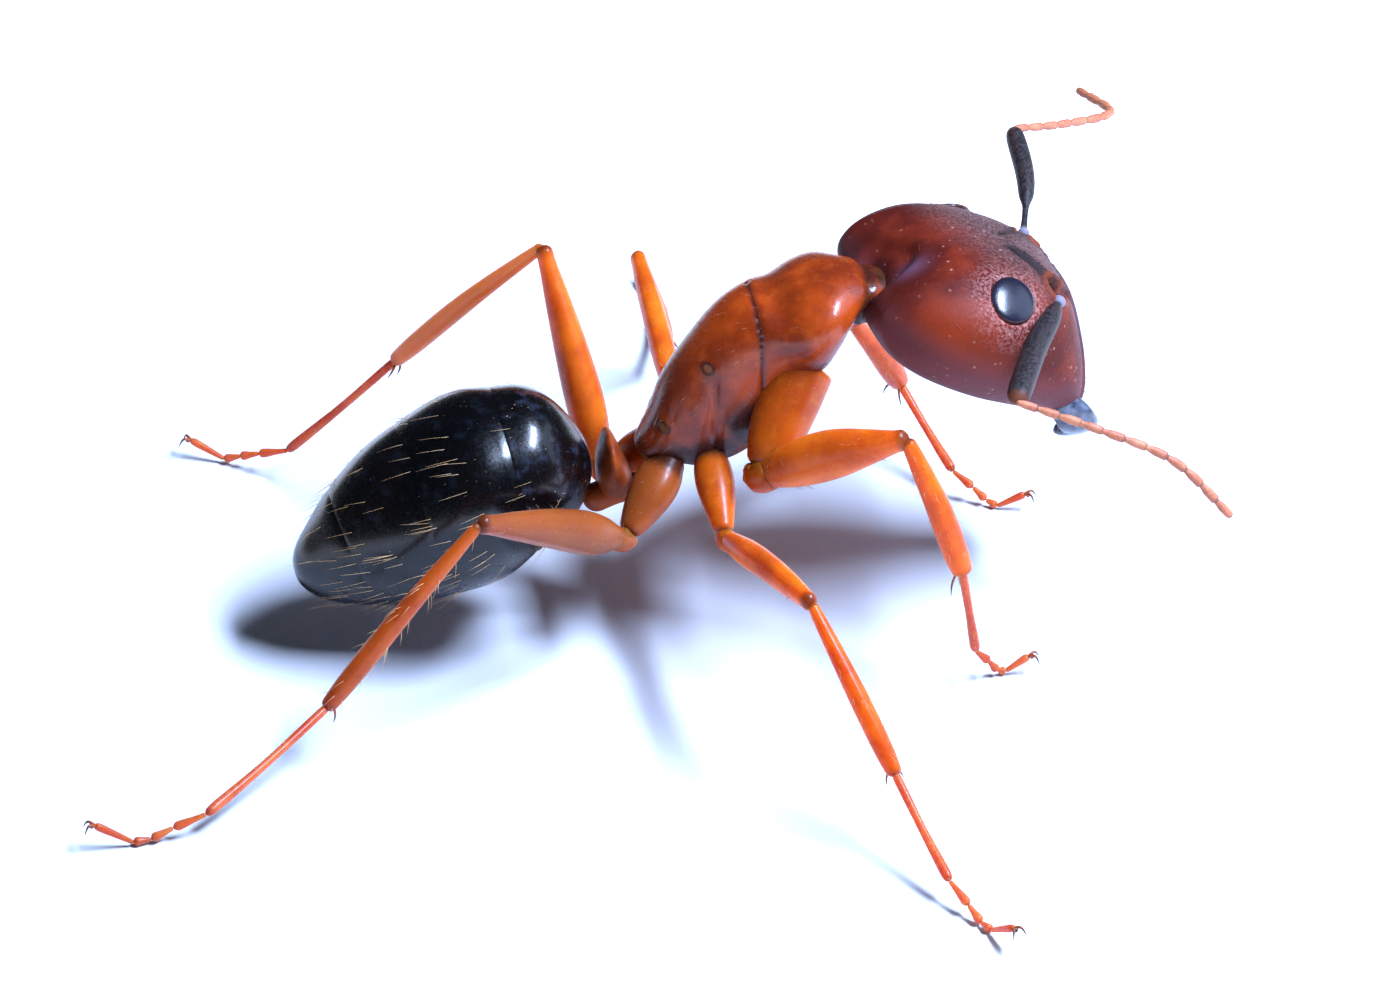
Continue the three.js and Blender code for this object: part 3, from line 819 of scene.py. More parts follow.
hip_spots = []
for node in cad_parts:
    if node.startswith("coxa_"):
        low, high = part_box(node)
        size = (high - low).length / MM * HIP_SOCKET_SHARE
        hip_spots.append((thorax_place.inverted() @ middle(node), size))


def collar_rim(spot):
    """Where the pronotum's front margin and its collar about the neck are."""
    margin = hump(spot.z + 0.2 - 0.4 * (spot.x - 3.24), 0.09) * ease(3.1, 3.4, spot.x)
    return max(margin * 0.75, ease(COLLAR_START, COLLAR_START + 0.1, spot.x))


def thorax_painted_shade(spot, from_edge):
    """Where painted shade makes the thorax nearly black: in the front suture, round the hip sockets, at
    the hind end and under the front rim.
    """
    dark = 0.85 * hump(max(from_edge, 0.0), 0.04)
    hips = min((spot - centre).length - size for centre, size in hip_spots)
    dark = max(dark, 0.9 * hump(max(hips, 0), 0.08) * (1 - ease(-0.2, 0.2, spot.z)))
    dark = max(dark, 0.8 * (1 - ease(0.12, 0.3, spot.x)) * ease(-0.5, 0.1, spot.z))
    rim = hump(spot.z + 0.28 - 0.4 * (spot.x - 3.24), 0.09) * ease(3.0, 3.3, spot.x)
    return max(dark, 0.7 * rim)


thorax_material = thorax_finish()
thorax_skins = {}
for name, front, rear in (("pronotum", None, FRONT_SUTURE), ("mesothorax", FRONT_SUTURE, REAR_SUTURE),
                          ("propodeum", REAR_SUTURE, None)):
    plate = ball(160, 130)
    thorax_body(plate)

    def from_suture(spot):
        return abs(past(FRONT_SUTURE, spot)) if FRONT_SUTURE in (front, rear) else 9.0

    press(plate, lambda spot: thorax_relief(spot) + roll(from_suture(spot), SUTURE_WIDE, SUTURE_DEEP))
    if rear:
        trim(plate, rear, keep_front=True)
    if front:
        trim(plate, front, keep_front=False)
    # The painted shade of the suture, hip sockets, hind end and front rim.
    mark(plate, "painted_shade", lambda v: thorax_painted_shade(v.co, from_suture(v.co)))
    mark(plate, "low", lambda v: 1 - ease(-0.8, 0.2, v.co.z))
    mark(plate, "collar", lambda v: collar_rim(v.co))
    thorax_skins[name] = plate.copy()
    piece(plate, name + "_plate", thorax_place, thorax_material, [name])


# ---------------------------------------------------------------------------
# Neck. A narrow ringed stalk of tough mottled skin joins the head to the pronotum.
# It is a short tube whose rings are pressed into its thickness.
# ---------------------------------------------------------------------------

NECK_THICK = 0.29
NECK_INTO_THORAX = Vector((0.3, 0, -0.05))
NECK_INTO_HEAD = Vector((0.2, 0, 0))


def neck_finish():
    """Mottled brown skin."""
    skin = Finish("neck_skin")
    mottle = skin.cloud(0.12, detail=4.0)
    brown = skin.mix(mottle.ramp(0.35, 0.65), (0.012, 0.006, 0.005, 1), (0.1, 0.04, 0.026, 1))
    return skin.shell(
        base_color=brown,
        roughness=mottle.ramp(0.3, 0.7, 0.3, 0.5),
        normal=skin.bumps(mottle, 0.012),
    )


neck_low, neck_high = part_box("neck")
neck_rear = Vector((neck_low.x / MM + NECK_THICK, 0, (neck_high.z + neck_low.z) / 2 / MM))
neck_front = Vector((neck_high.x / MM - NECK_THICK, 0, neck_rear.z))
neck = sleeve(
    course(neck_rear - NECK_INTO_THORAX, neck_front + NECK_INTO_HEAD),
    lambda s: NECK_THICK * (1 + 0.06 * math.sin(s * 34)),
    sides=48,
    rings=60,
)
piece(neck, "neck_skin", Matrix(), neck_finish(), ["neck"])


# ---------------------------------------------------------------------------
# Waist. The petiole is one upright, pointed scale on a short stalk between thorax and gaster.
# It is a tube drawn up into a wedge, with the stalk passing through its foot.
# ---------------------------------------------------------------------------

WAIST_FOOT = Vector((0.05, 0, 0.12))
WAIST_CREST = Vector((-0.1, 0, -0.04))
WAIST_BOW = Vector((-0.03, 0, 0))
STALK_FRONT = Vector((0.55, 0, 0.1))
STALK_MIDDLE = Vector((0, 0, 0.06))
STALK_REAR = Vector((-0.55, 0, -0.12))


def waist_finish():
    """Red brown, the dullest part of the body."""
    scale = Finish("waist_cuticle")
    blotch = scale.cloud(0.4, detail=4.0)
    grain = scale.cloud(0.06)
    red = scale.mix(blotch.ramp(0.35, 0.65), (0.17, 0.025, 0.004, 1), (0.3, 0.05, 0.006, 1))
    return scale.shell(
        base_color=red,
        roughness=grain.ramp(0.3, 0.7, 0.4, 0.56),
        normal=scale.bumps(grain, 0.004, 0.7),
        specular_ior_level=0.2,
        coat_weight=0.03,
        coat_roughness=0.15,
    )


waist_low, waist_high = (Vector(corner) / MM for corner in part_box("petiole"))
waist_x = (waist_low.x + waist_high.x) / 2
waist_foot = Vector((waist_x, 0, waist_low.z)) + WAIST_FOOT
waist_crest = Vector((waist_x, 0, waist_high.z)) + WAIST_CREST
scale = sleeve(
    course(waist_foot, (waist_foot + waist_crest) / 2 + WAIST_BOW, waist_crest),
    wide=profile((0, 0.2), (0.2, 0.27), (0.5, 0.24), (0.8, 0.13), (1, 0.05)),
    deep=profile((0, 0.3), (0.3, 0.46), (0.6, 0.53), (0.85, 0.42), (1, 0.2)),
    sides=64,
    rings=64,
    hint=(0, 1, 0),
    rounding=0.12,
)
waist_material = waist_finish()
piece(scale, "waist_scale", Matrix(), waist_material, ["petiole"])
stalk = sleeve(
    course(waist_foot + STALK_FRONT, waist_foot + STALK_MIDDLE, waist_foot + STALK_REAR),
    wide=profile((0, 0.2), (0.5, 0.22), (1, 0.24)),
    sides=40,
    rings=40,
)
piece(stalk, "waist_stalk", Matrix(), waist_material, [])


# ---------------------------------------------------------------------------
# Gaster. Four black plates like polished lacquer slide under one another towards the tail. They are cut
# from one swollen body, and each rear one is tucked under the lip of the one in front.
# ---------------------------------------------------------------------------

GASTER_TURN = Matrix.Rotation(math.radians(-12), 4, "Y")
GASTER_LENGTH = 4.85
GASTER_2_FROM_TAIL = Vector((2.843, 0, 0.4163))
GASTER_CUTS = ((3.68, 0.02), (2.25, 0.1), (1.0, 0.18))
TUCK = 0.14
TUCK_DEEP = 0.014
PLATE_FALL = (0.05, 0.012, 0.008)
LIP_WIDE = 0.02
LIP_DEEP = 0.008
GASTER_UNEVEN = 0.006

gaster_place = Matrix.Translation(middle("gaster_2") - GASTER_TURN @ GASTER_2_FROM_TAIL) @ GASTER_TURN
gaster_middle = profile((0, -0.16), (0.08, -0.1), (0.16, 0.02), (0.28, 0.16), (0.41, 0.29), (0.58, 0.43),
                        (0.76, 0.56), (0.85, 0.62), (0.93, 0.6), (1, 0.5))
gaster_radius = profile((0, 0.8), (0.08, 0.94), (0.16, 1.09), (0.28, 1.25), (0.41, 1.38), (0.58, 1.5),
                        (0.72, 1.5), (0.85, 1.44), (0.93, 1.34), (1, 1.1))


def gaster_finish():
    """Black lacquer with pale specks and dust on top, and a painted bluish reflection of the floor below.
    """
    lacquer = Finish("gaster_cuticle")
    fine = lacquer.cloud(0.05, detail=4.0)
    broad = lacquer.cloud(0.9)
    black = lacquer.mix(broad.ramp(0.4, 0.7), (0.0012, 0.0012, 0.0016, 1), (0.003, 0.002, 0.002, 1))
    specks = lacquer.cells(0.11).ramp(0.05, 0.14, 1.0, 0.0) * lacquer.cloud(0.4).ramp(0.5, 0.62)
    black = lacquer.mix(specks * lacquer.marked("dusty"), black, (0.42, 0.26, 0.16, 1))
    dust = lacquer.cloud(0.25, detail=5.0).ramp(0.5, 0.72)
    black = lacquer.mix(dust * lacquer.marked("dusty") * 0.45, black, (0.035, 0.045, 0.07, 1))
    # Painted reflection: a blue tint on the underside.
    black = lacquer.mix(lacquer.marked("under"), black, (0.006, 0.011, 0.024, 1))
    return lacquer.shell(
        base_color=black,
        roughness=fine.ramp(0.3, 0.7, 0.2, 0.3),
        normal=lacquer.bumps(fine, 0.0025, 0.6),
        coat_weight=0.2,
        coat_roughness=0.09,
        specular_ior_level=0.3,
    )


gaster_material = gaster_finish()
gaster_skins = {}
for number in range(1, 5):
    plate = ball(160, 140)
    swell(
        plate,
        length=GASTER_LENGTH,
        top=lambda s: gaster_middle(s) + gaster_radius(s),
        bottom=lambda s: gaster_middle(s) - gaster_radius(s),
        half=gaster_radius,
        blunt=2.5,
        square=1,
    )
    front = GASTER_CUTS[number - 2] if number > 1 else None
    rear = GASTER_CUTS[number - 1] if number < 4 else None

    def lip(spot):
        height = GASTER_UNEVEN * noise.noise(spot * 0.9)
        if front:
            height -= TUCK_DEEP * ease(-0.1, 0.05, past(front, spot))
            height -= PLATE_FALL[number - 2] * ease(-0.55, 0.0, past(front, spot))
        if rear:
            height -= PLATE_FALL[number - 1] * (1 - ease(0.0, 0.6, past(rear, spot)))
            height += roll(past(rear, spot), LIP_WIDE, LIP_DEEP)
        return height

    press(plate, lip)
    if front:
        trim(plate, (front[0] + TUCK, front[1]), keep_front=False)
    if rear:
        trim(plate, rear, keep_front=True)
    mark(plate, "dusty", lambda v: (1.0 if number == 1 else 0.25) * ease(-1.0, 0.3, v.co.z))
    # Where the painted blue reflection of the floor lies: the underside.
    mark(plate, "under", lambda v: 1 - ease(-0.75, -0.25, v.co.z))
    gaster_skins[number] = plate.copy()
    node = "gaster_%d" % number
    piece(plate, "gaster_plate_%d" % number, gaster_place, gaster_material, [node])


# ---------------------------------------------------------------------------
# Legs. Six amber legs of tapering tubes: hip, small trochanter, swollen thigh, shin, and a jointed foot.
# Every tube runs between the joints of the frame's solids, and is slimmer than they are.
# ---------------------------------------------------------------------------

LEG_NAMES = [row + "_" + side for row in ("fore", "middle", "hind") for side in ("left", "right")]
HIP_THICK = {"fore": 0.5, "middle": 0.3, "hind": 0.37}
THIGH_THICK = {"fore": 0.39, "middle": 0.225, "hind": 0.34}
SHIN_THICK = {"fore": 0.2, "middle": 0.155, "hind": 0.16}
HIP_FLAT = {"fore": 1.0, "middle": 0.86, "hind": 0.86}
HIP_DOWN = {"fore": 0.26, "middle": 0.24, "hind": 0.26}
HIP_INWARD = {"fore": 0.4, "middle": 0.75, "hind": 0.6}
THIGH_FLAT = 0.86
NECKED_HIP = profile((0, 0.72), (0.1, 0.76), (0.26, 0.96), (0.45, 1), (0.65, 0.86), (0.88, 0.6),
                     (1, 0.44))
HIP_SHAPES = {
    "fore": profile((0, 1.04), (0.2, 1.02), (0.5, 0.94), (0.75, 0.8), (0.92, 0.6), (1, 0.5)),
    "middle": NECKED_HIP,
    "hind": NECKED_HIP,
}
RING_SHAPE = profile((0, 0.85), (0.3, 1), (0.8, 0.95), (1, 0.7))
THIGH_SHAPES = {
    "fore": profile((0, 0.6), (0.08, 0.7), (0.2, 0.88), (0.38, 1), (0.55, 0.95), (0.75, 0.7),
                    (0.92, 0.46), (1, 0.44)),
    "middle": profile((0, 0.66), (0.08, 0.8), (0.27, 1), (0.5, 0.98), (0.75, 0.86), (0.92, 0.68),
                      (1, 0.64)),
    "hind": profile((0, 0.48), (0.06, 0.6), (0.15, 0.86), (0.27, 1), (0.5, 0.9), (0.75, 0.66),
                    (0.92, 0.46), (1, 0.44)),
}
SHIN_SHAPE = profile((0, 0.5), (0.06, 0.6), (0.3, 0.82), (0.6, 1), (0.85, 0.96), (0.97, 0.78), (1, 0.6))
# Painted light and shade on single legs: positive tones paint shade on the right hind leg, the negative
# one paints light on the left hind shin.
LEG_PAINTED_SHADE_AND_LIGHT = {"hind_right": {"thigh": 0.75, "hip": 0.6, "shin": 0.5}, "hind_left": {"shin": -0.65}}
RING_THICK = {"fore": 0.7, "middle": 0.74, "hind": 0.56}
LONG_FOOT_SHAPE = profile((0, 0.055), (0.06, 0.068), (0.5, 0.064), (0.93, 0.08), (1, 0.06))
SMALL_FOOT_REACH = (0.0, 0.29, 0.48, 0.64, 1.0)
SMALL_FOOT_WIDE = (0.074, 0.074, 0.074, 0.062)
KNEE_ROUND = 0.25
FLOOR_CLEAR = 0.06
HIDDEN_SHIFT = Vector((0.42, 0, 0))


def leg_finish(name, pale, deep, dark_ends, dark_root_and_shade=0.03):
    """Clear amber, duller with painted shade where a piece's tone is above 0 and paler with painted light
    where it is below 0, and dark at both ends of each tube; the long dark root of the middle and hind
    hips is painted shade.
    """
    amber = Finish(name)
    blotch = amber.cloud(0.7, detail=4.0)
    streak = amber.cloud(0.14, detail=4.0)
    grain = amber.cloud(0.05)
    along = amber.marked("along")
    tint = amber.mix(blotch.ramp(0.35, 0.65), deep, pale)
    tint = amber.mix(streak.ramp(0.5, 0.8, 0.0, 0.3), tint, (0.72, 0.24, 0.03, 1))
    tone = amber.marked("tone")
    # Painted shade where the tone is above 0, painted light where it is below 0.
    tint = amber.mix(tone.ramp(0.0, 1.0), tint, (0.2, 0.055, 0.014, 1))
    tint = amber.mix(tone.ramp(-1.0, 0.0, 1.0, 0.0), tint, (1.0, 0.29, 0.09, 1))
    # Dark joints at both ends; a long dark root is painted shade.
    ends = along.ramp(0.93, 0.995) + along.ramp(dark_root_and_shade * 0.5, dark_root_and_shade, 1.0, 0.0)
    tint = amber.mix(ends * dark_ends, tint, (0.05, 0.009, 0.004, 1))
    return amber.shell(
        base_color=tint,
        roughness=grain.ramp(0.3, 0.7, 0.26, 0.42),
        normal=amber.bumps(grain, 0.0004, 0.4),
        specular_ior_level=0.22,
        coat_weight=0.05,
        coat_roughness=0.1,
        subsurface_weight=0.8,
        subsurface_radius=(0.8 * MM, 0.25 * MM, 0.04 * MM),
        subsurface_scale=1.0,
    )


def weld(parts):
    """Puts several closed shapes into one."""
    joined = bmesh.new()
    for part in parts:
        scrap = bpy.data.meshes.new("scrap")
        part.to_mesh(scrap)
        part.free()
        joined.from_mesh(scrap)
        bpy.data.meshes.remove(scrap)
    return joined


HIP_PALE = (0.5, 0.095, 0.004, 1)
HIP_DEEP = (0.34, 0.05, 0.003, 1)
hip_material = leg_finish("hip_cuticle", HIP_PALE, HIP_DEEP, 0.6)
# Painted shade: the middle and hind hips go dark over their first third, where they enter the thorax.
necked_material = leg_finish("necked_hip_cuticle", HIP_PALE, HIP_DEEP, 0.9, dark_root_and_shade=0.3)
thigh_material = leg_finish("thigh_cuticle", (0.7, 0.15, 0.009, 1), (0.5, 0.08, 0.006, 1), 0.8)
shin_material = leg_finish("shin_cuticle", (0.7, 0.125, 0.005, 1), (0.5, 0.065, 0.004, 1), 0.6)
foot_material = leg_finish("foot_cuticle", (0.55, 0.12, 0.04, 1), (0.38, 0.065, 0.022, 1), 0.5)

legs = {}
for name in LEG_NAMES:
    row = name.split("_")[0]
    trochanter = middle("trochanter_" + name)
    knee = joint("femur_" + name, trochanter, KNEE_ROUND)
    shift = HIDDEN_SHIFT if name == "middle_left" else Vector()
    ankle = joint("tibia_" + name, knee) + shift
    heel = joint("basitarsus_" + name, ankle) + shift
    sole = [spot for spot in corners("tarsus_" + name) if spot.z < 1e-3]
    tread = sum(sole, Vector()) / len(sole) + Vector((0, 0, FLOOR_CLEAR)) + shift * 0.5
    toe = joint("tarsus_" + name, heel) + shift * 0.5
    hip_end = farthest("coxa_" + name, trochanter)
    out = (knee - trochanter).normalized()
    back = (hip_end - trochanter).normalized()
    shin_way = (ankle - knee).normalized()

    def hip_radius(s):
        return HIP_THICK[row] * HIP_SHAPES[row](s)

    def thigh_radius(s):
        return THIGH_THICK[row] * THIGH_SHAPES[row](s)

    hip = hip_end - back * HIP_DOWN[row] - Vector((0, hip_end.y * HIP_INWARD[row], 0))
    coxa = sleeve(course(hip, trochanter + back * 0.08), hip_radius,
                  lambda s: hip_radius(s) * HIP_FLAT[row], sides=56, rings=60, rounding=0.14)
    ring = sleeve(course(trochanter + back * 0.14, trochanter, trochanter + out * 0.3),
                  lambda s: THIGH_THICK[row] * RING_THICK[row] * RING_SHAPE(s),
                  sides=32, rings=36, rounding=0.08)
    thigh_line = course(trochanter + out * 0.08, (trochanter + knee) / 2 + Vector((0, 0, 0.06)), knee)
    thigh = sleeve(thigh_line, lambda s: thigh_radius(s) * THIGH_FLAT, thigh_radius, sides=72, rings=70,
                   rounding=0.12)
    shin_line = course(knee - out * 0.02, (knee + ankle) / 2 + out * 0.04, ankle)
    shin = sleeve(shin_line, lambda s: SHIN_THICK[row] * SHIN_SHAPE(s), sides=90, rings=56, rounding=0.08)
    heel_line = course(ankle - shin_way * 0.06, (ankle + heel) / 2 - Vector((0, 0, 0.03)), heel)
    long_foot = sleeve(heel_line, LONG_FOOT_SHAPE, sides=56, rings=44)
    foot_line = course(heel, heel.lerp(tread, 0.5), tread, toe)
    joints = []
    for a, b, wide in zip(SMALL_FOOT_REACH, SMALL_FOOT_REACH[1:], SMALL_FOOT_WIDE):
        shape = profile((0, 0.036), (0.4, 0.05), (0.85, wide), (1, 0.05))
        joints.append(sleeve(course(foot_line(a)[0], foot_line(b)[0]), shape, sides=16, rings=24))

    # This leg's painted shade and light, piece by piece.
    painted_shade_and_light = LEG_PAINTED_SHADE_AND_LIGHT.get(name, {})
    for shape, part in ((coxa, "hip"), (ring, "hip"), (thigh, "thigh"), (shin, "shin")):
        mark(shape, "tone", lambda v: painted_shade_and_light.get(part, 0.0))

    legs[name] = {
        "hip": (coxa.copy(), None), "thigh": (thigh.copy(), thigh_line),
        "shin": (shin.copy(), shin_line), "long_foot": (long_foot.copy(), heel_line),
        "toe": foot_line(1.0), "ankle": ankle, "shin_way": shin_way, "out": out,
    }
    hip_look = hip_material if row == "fore" else necked_material
    piece(coxa, "hip_" + name, Matrix(), hip_look, ["coxa_" + name])
    piece(ring, "trochanter_ring_" + name, Matrix(), hip_material, ["trochanter_" + name])
    piece(thigh, "thigh_" + name, Matrix(), thigh_material, ["femur_" + name])
    piece(shin, "shin_" + name, Matrix(), shin_material, ["tibia_" + name])
    piece(long_foot, "long_foot_" + name, Matrix(), foot_material, ["basitarsus_" + name])
    piece(weld(joints), "small_foot_" + name, Matrix(), foot_material, ["tarsus_" + name])


# ---------------------------------------------------------------------------
# Spurs and claws. Two dark amber spurs stand at the end of each shin, and each foot ends in a pair of
# hooked claws round a soft pad. All are small horns swept along curves.
# ---------------------------------------------------------------------------

SPUR_LENGTH = {"fore": 0.36, "middle": 0.22, "hind": 0.24}
SPUR_THICK = 0.022
CLAW_REACH = 0.2
CLAW_THICK = 0.026
CLAW_RISE = Vector((0, 0, 0.03))
CLAW_DROP = Vector((0, 0, 0.09))
PAD_LENGTH = 0.08
PAD_DROP = Vector((0, 0, 0.02))
PAD_SHAPE = profile((0, 0.04), (1, 0.045))


def claw_finish():
    """Amber horn that darkens towards the tip."""
    horn = Finish("claw_horn")
    grain = horn.cloud(0.05)
    tint = horn.mix(horn.marked("along").ramp(0.2, 0.9), (0.34, 0.06, 0.01, 1), (0.03, 0.008, 0.005, 1))
    return horn.shell(
        base_color=tint,
        roughness=grain.ramp(0.3, 0.7, 0.22, 0.36),
        normal=horn.bumps(grain, 0.002),
    )


def horn_shape(start, bend, end, thick):
    """A small curved horn that tapers to a blunt point."""
    taper = profile((0, thick), (0.5, thick * 0.75), (1, thick * 0.15))
    return sleeve(course(start, bend, end), taper, sides=12, rings=20, rounding=thick * 0.3)


claw_material = claw_finish()
for name in LEG_NAMES:
    row = name.split("_")[0]
    leg = legs[name]
    across = leg["shin_way"].cross(leg["out"]).normalized()
    reach = SPUR_LENGTH[row]
    spurs = []
    for spread in (-0.5, 0.5):
        start = leg["ankle"] - leg["shin_way"] * 0.08 - leg["out"] * 0.08 + across * spread * 0.14
        way = (leg["shin_way"] - leg["out"] * 0.75 + across * spread * 0.8).normalized()
        bend = start + way * reach * 0.55
        end = start + way * reach * 0.9 + leg["shin_way"] * reach * 0.2
        spurs.append(horn_shape(start, bend, end, SPUR_THICK))
    piece(weld(spurs), "spurs_" + name, Matrix(), claw_material, [])
    toe, forward = leg["toe"]
    level = Vector((forward.x, forward.y, 0)).normalized()
    aside = Vector((-level.y, level.x, 0))
    claws = []
    for spread in (-1, 1):
        way = (level + aside * spread * 0.75).normalized()
        bend = toe + way * CLAW_REACH * 0.55 + CLAW_RISE
        end = toe + way * CLAW_REACH - CLAW_DROP
        claws.append(horn_shape(toe - forward * 0.03, bend, end, CLAW_THICK))
    pad_line = course(toe, toe + level * PAD_LENGTH - PAD_DROP)
    claws.append(sleeve(pad_line, PAD_SHAPE, sides=12, rings=12))
    piece(weld(claws), "claws_" + name, Matrix(), claw_material, [])


# ---------------------------------------------------------------------------
# Bristles. Golden bristles stand in rows on each gaster plate and along the legs, and shorter pale
# hairs sit on head and thorax. Each is a tapering three-sided horn rooted in its plate.
# ---------------------------------------------------------------------------

TUFT_PATCH = 0.003
STRAY = 0.1
ROOT_DEEP = 0.01
dice = random.Random(11)


class Coat:
    """Many bristles in one mesh, each with its own small patch of the bake's map."""

    def __init__(self):
        self.tufts = []

    def bristle(self, root, way, length, thick, droop, patch):
        """Adds one, from its root along its way, with its tip bent by the droop."""
        tuft = bmesh.new()
        patches = tuft.loops.layers.uv.new("OFBake")
        bmesh.ops.create_uvsphere(tuft, u_segments=3, v_segments=5, radius=1)
        side = way.orthogonal().normalized()
        over = way.cross(side)
        for v in tuft.verts:
            s = (1 + v.co.z) / 2
            ring = math.hypot(v.co.x, v.co.y)
            reach = thick * (1 - 0.85 * s) / ring if ring > 1e-4 else 0.0
            spread = (side * v.co.x + over * v.co.y) * reach
            corner = (patch[0] + TUFT_PATCH * v.co.x / 2, patch[1] + TUFT_PATCH * s)
            v.co = root + way * (length * s) + droop * (length * s * s) + spread
            for loop in v.link_loops:
                loop[patches].uv = corner
        self.tufts.append(tuft)


def roots(skin, count, allowed):
    """Random spots on a skin: place, normal, and its share along and around the skin. The faces are put
    in the order of their vertices first, because a ball's faces come in another order at each run."""
    along = skin.verts.layers.float["along"]
    around = skin.verts.layers.float["around"]
    skin.normal_update()
    skin.verts.index_update()
    faces = [f for f in skin.faces if len(f.verts) < 5 and allowed(f.calc_center_median())]
    faces.sort(key=lambda f: sorted(v.index for v in f.verts))
    for f in dice.choices(faces, weights=[f.calc_area() for f in faces], k=count):
        v = min(f.verts, key=lambda v: v.index)
        yield f.calc_center_median(), f.normal.copy(), v[along], v[around]


def lay(coat, skin, count, allowed, heading, stand, length, thick, column, columns):
    """Sets bristles on a skin. heading gives the way that they lean at a share along the skin, stand is
    how steeply they rise, and column is their own strip of the bake's map."""
    for spot, normal, along, around in roots(skin, count, allowed):
        aim = heading(along)
        flat = (aim - normal * aim.dot(normal)).normalized()
        astray = Vector([dice.uniform(-STRAY, STRAY) for _ in range(3)])
        way = (flat * (1 - stand) + normal * stand + astray).normalized()
        size = dice.uniform(*length)
        droop = (flat * 0.3 - normal * 0.2) * stand
        patch = ((column + around) / columns, along)
        coat.bristle(spot - normal * ROOT_DEEP, way, size, thick, droop, patch)


def hair_finish(name, pale, deep):
    """Bristle horn, varying a little over the body."""
    hair = Finish(name)
    tone = hair.cloud(0.5)
    tint = hair.mix(tone.ramp(0.35, 0.65), deep, pale)
    return hair.shell(
        base_color=tint,
        roughness=tone.ramp(0.3, 0.7, 0.35, 0.5),
        specular_ior_level=0.6,
    )


gold_material = hair_finish("golden_bristle", (0.8, 0.52, 0.26, 1), (0.5, 0.26, 0.09, 1))
pale_material = hair_finish("pale_hair", (0.42, 0.2, 0.1, 1), (0.26, 0.09, 0.04, 1))


def rearward(along):
    return Vector((-1, 0, 0.05))


def faceward(along):
    return Vector((1, 0, -0.2))


# Each plate's rows: how far ahead of its cut, how wide the row is, and how many bristles.
GASTER_ROWS = {
    1: ((0.2, 0.15, 14), (0.6, 0.15, 10)),
    2: ((0.12, 0.15, 40), (0.75, 0.15, 34)),
    3: ((0.12, 0.15, 42), (0.65, 0.15, 34)),
    4: ((-0.35, 0.4, 28),),
}
SHORT_HAIRS = 150
gaster_coat = Coat()
for number, rows in GASTER_ROWS.items():
    skin = gaster_skins[number]
    cut = GASTER_CUTS[min(number, len(GASTER_CUTS)) - 1]
    column = number - 1
    for ahead, wide, count in rows:

        def in_row(spot):
            return abs(past(cut, spot) - ahead) < wide and spot.z > -1.2

        lay(gaster_coat, skin, count, in_row, rearward, 0.3, (0.32, 0.54), 0.0055, column, 4)
    lay(gaster_coat, skin, SHORT_HAIRS, lambda spot: True, rearward, 0.12, (0.05, 0.09), 0.0045,
        column, 4)
piece(weld(gaster_coat.tufts), "gaster_bristles", gaster_place, gold_material, [])

thorax_coat = Coat()
for column, name in enumerate(("propodeum", "mesothorax", "pronotum")):
    lay(thorax_coat, thorax_skins[name], 70, lambda spot: spot.z > -0.1, rearward, 0.6, (0.06, 0.12),
        0.0035, column, 3)
piece(weld(thorax_coat.tufts), "thorax_hairs", thorax_place, pale_material, [])


def on_face(spot):
    return spot.z > 0.9 and eye_ring(spot) > 1.3


def by_jaws(spot):
    return spot.x > 3.9 and abs(spot.y) < 1


def on_crown(spot):
    return spot.z > 0.6 and spot.x < 2.6 and eye_ring(spot) > 1.3


# How many hairs, where, how steep, how long and how thick.
HEAD_HAIRS = (
    (420, on_face, 0.25, (0.04, 0.07), 0.003),
    (30, by_jaws, 0.5, (0.16, 0.3), 0.007),
    (40, on_crown, 0.7, (0.08, 0.13), 0.004),
)
head_coat = Coat()
for count, allowed, stand, length, thick in HEAD_HAIRS:
    lay(head_coat, head_skin, count, allowed, faceward, stand, length, thick, 0, 1)
piece(weld(head_coat.tufts), "head_hairs", head_place, pale_material, [])

# Each part's number of bristles and their size.
LEG_HAIRS = {
    "fore": {"hip": (14, 0.08), "thigh": (46, 0.14), "shin": (50, 0.12), "long_foot": (50, 0.09)},
    "middle": {"hip": (10, 0.08), "thigh": (36, 0.1), "shin": (50, 0.11), "long_foot": (50, 0.09)},
    "hind": {"hip": (12, 0.08), "thigh": (46, 0.13), "shin": (44, 0.25), "long_foot": (60, 0.09)},
}
WORN_LEG = "hind_left"
WORN_SIZE = 0.1
for name in LEG_NAMES:
    leg_coat = Coat()
    for column, (part, (count, size)) in enumerate(LEG_HAIRS[name.split("_")[0]].items()):
        skin, line = legs[name][part]

        def down_leg(along):
            return line(along)[1] if line else legs[name]["out"]

        if name == WORN_LEG:
            count //= 3
            size = min(size, WORN_SIZE)
        lay(leg_coat, skin, count, lambda spot: spot.z > 0.1, down_leg, 0.5, (size * 0.7, size * 1.2),
            0.003 + size * 0.016, column, 4)
    piece(weld(leg_coat.tufts), "leg_bristles_" + name, Matrix(), gold_material, [])


# ---------------------------------------------------------------------------
# Floor, light and camera. The ant stands on plain white board under one large soft lamp, high to its
# front right, and a weak second one further to the front. It is seen from its right side and a little
# behind, from about thirty degrees up.
# ---------------------------------------------------------------------------

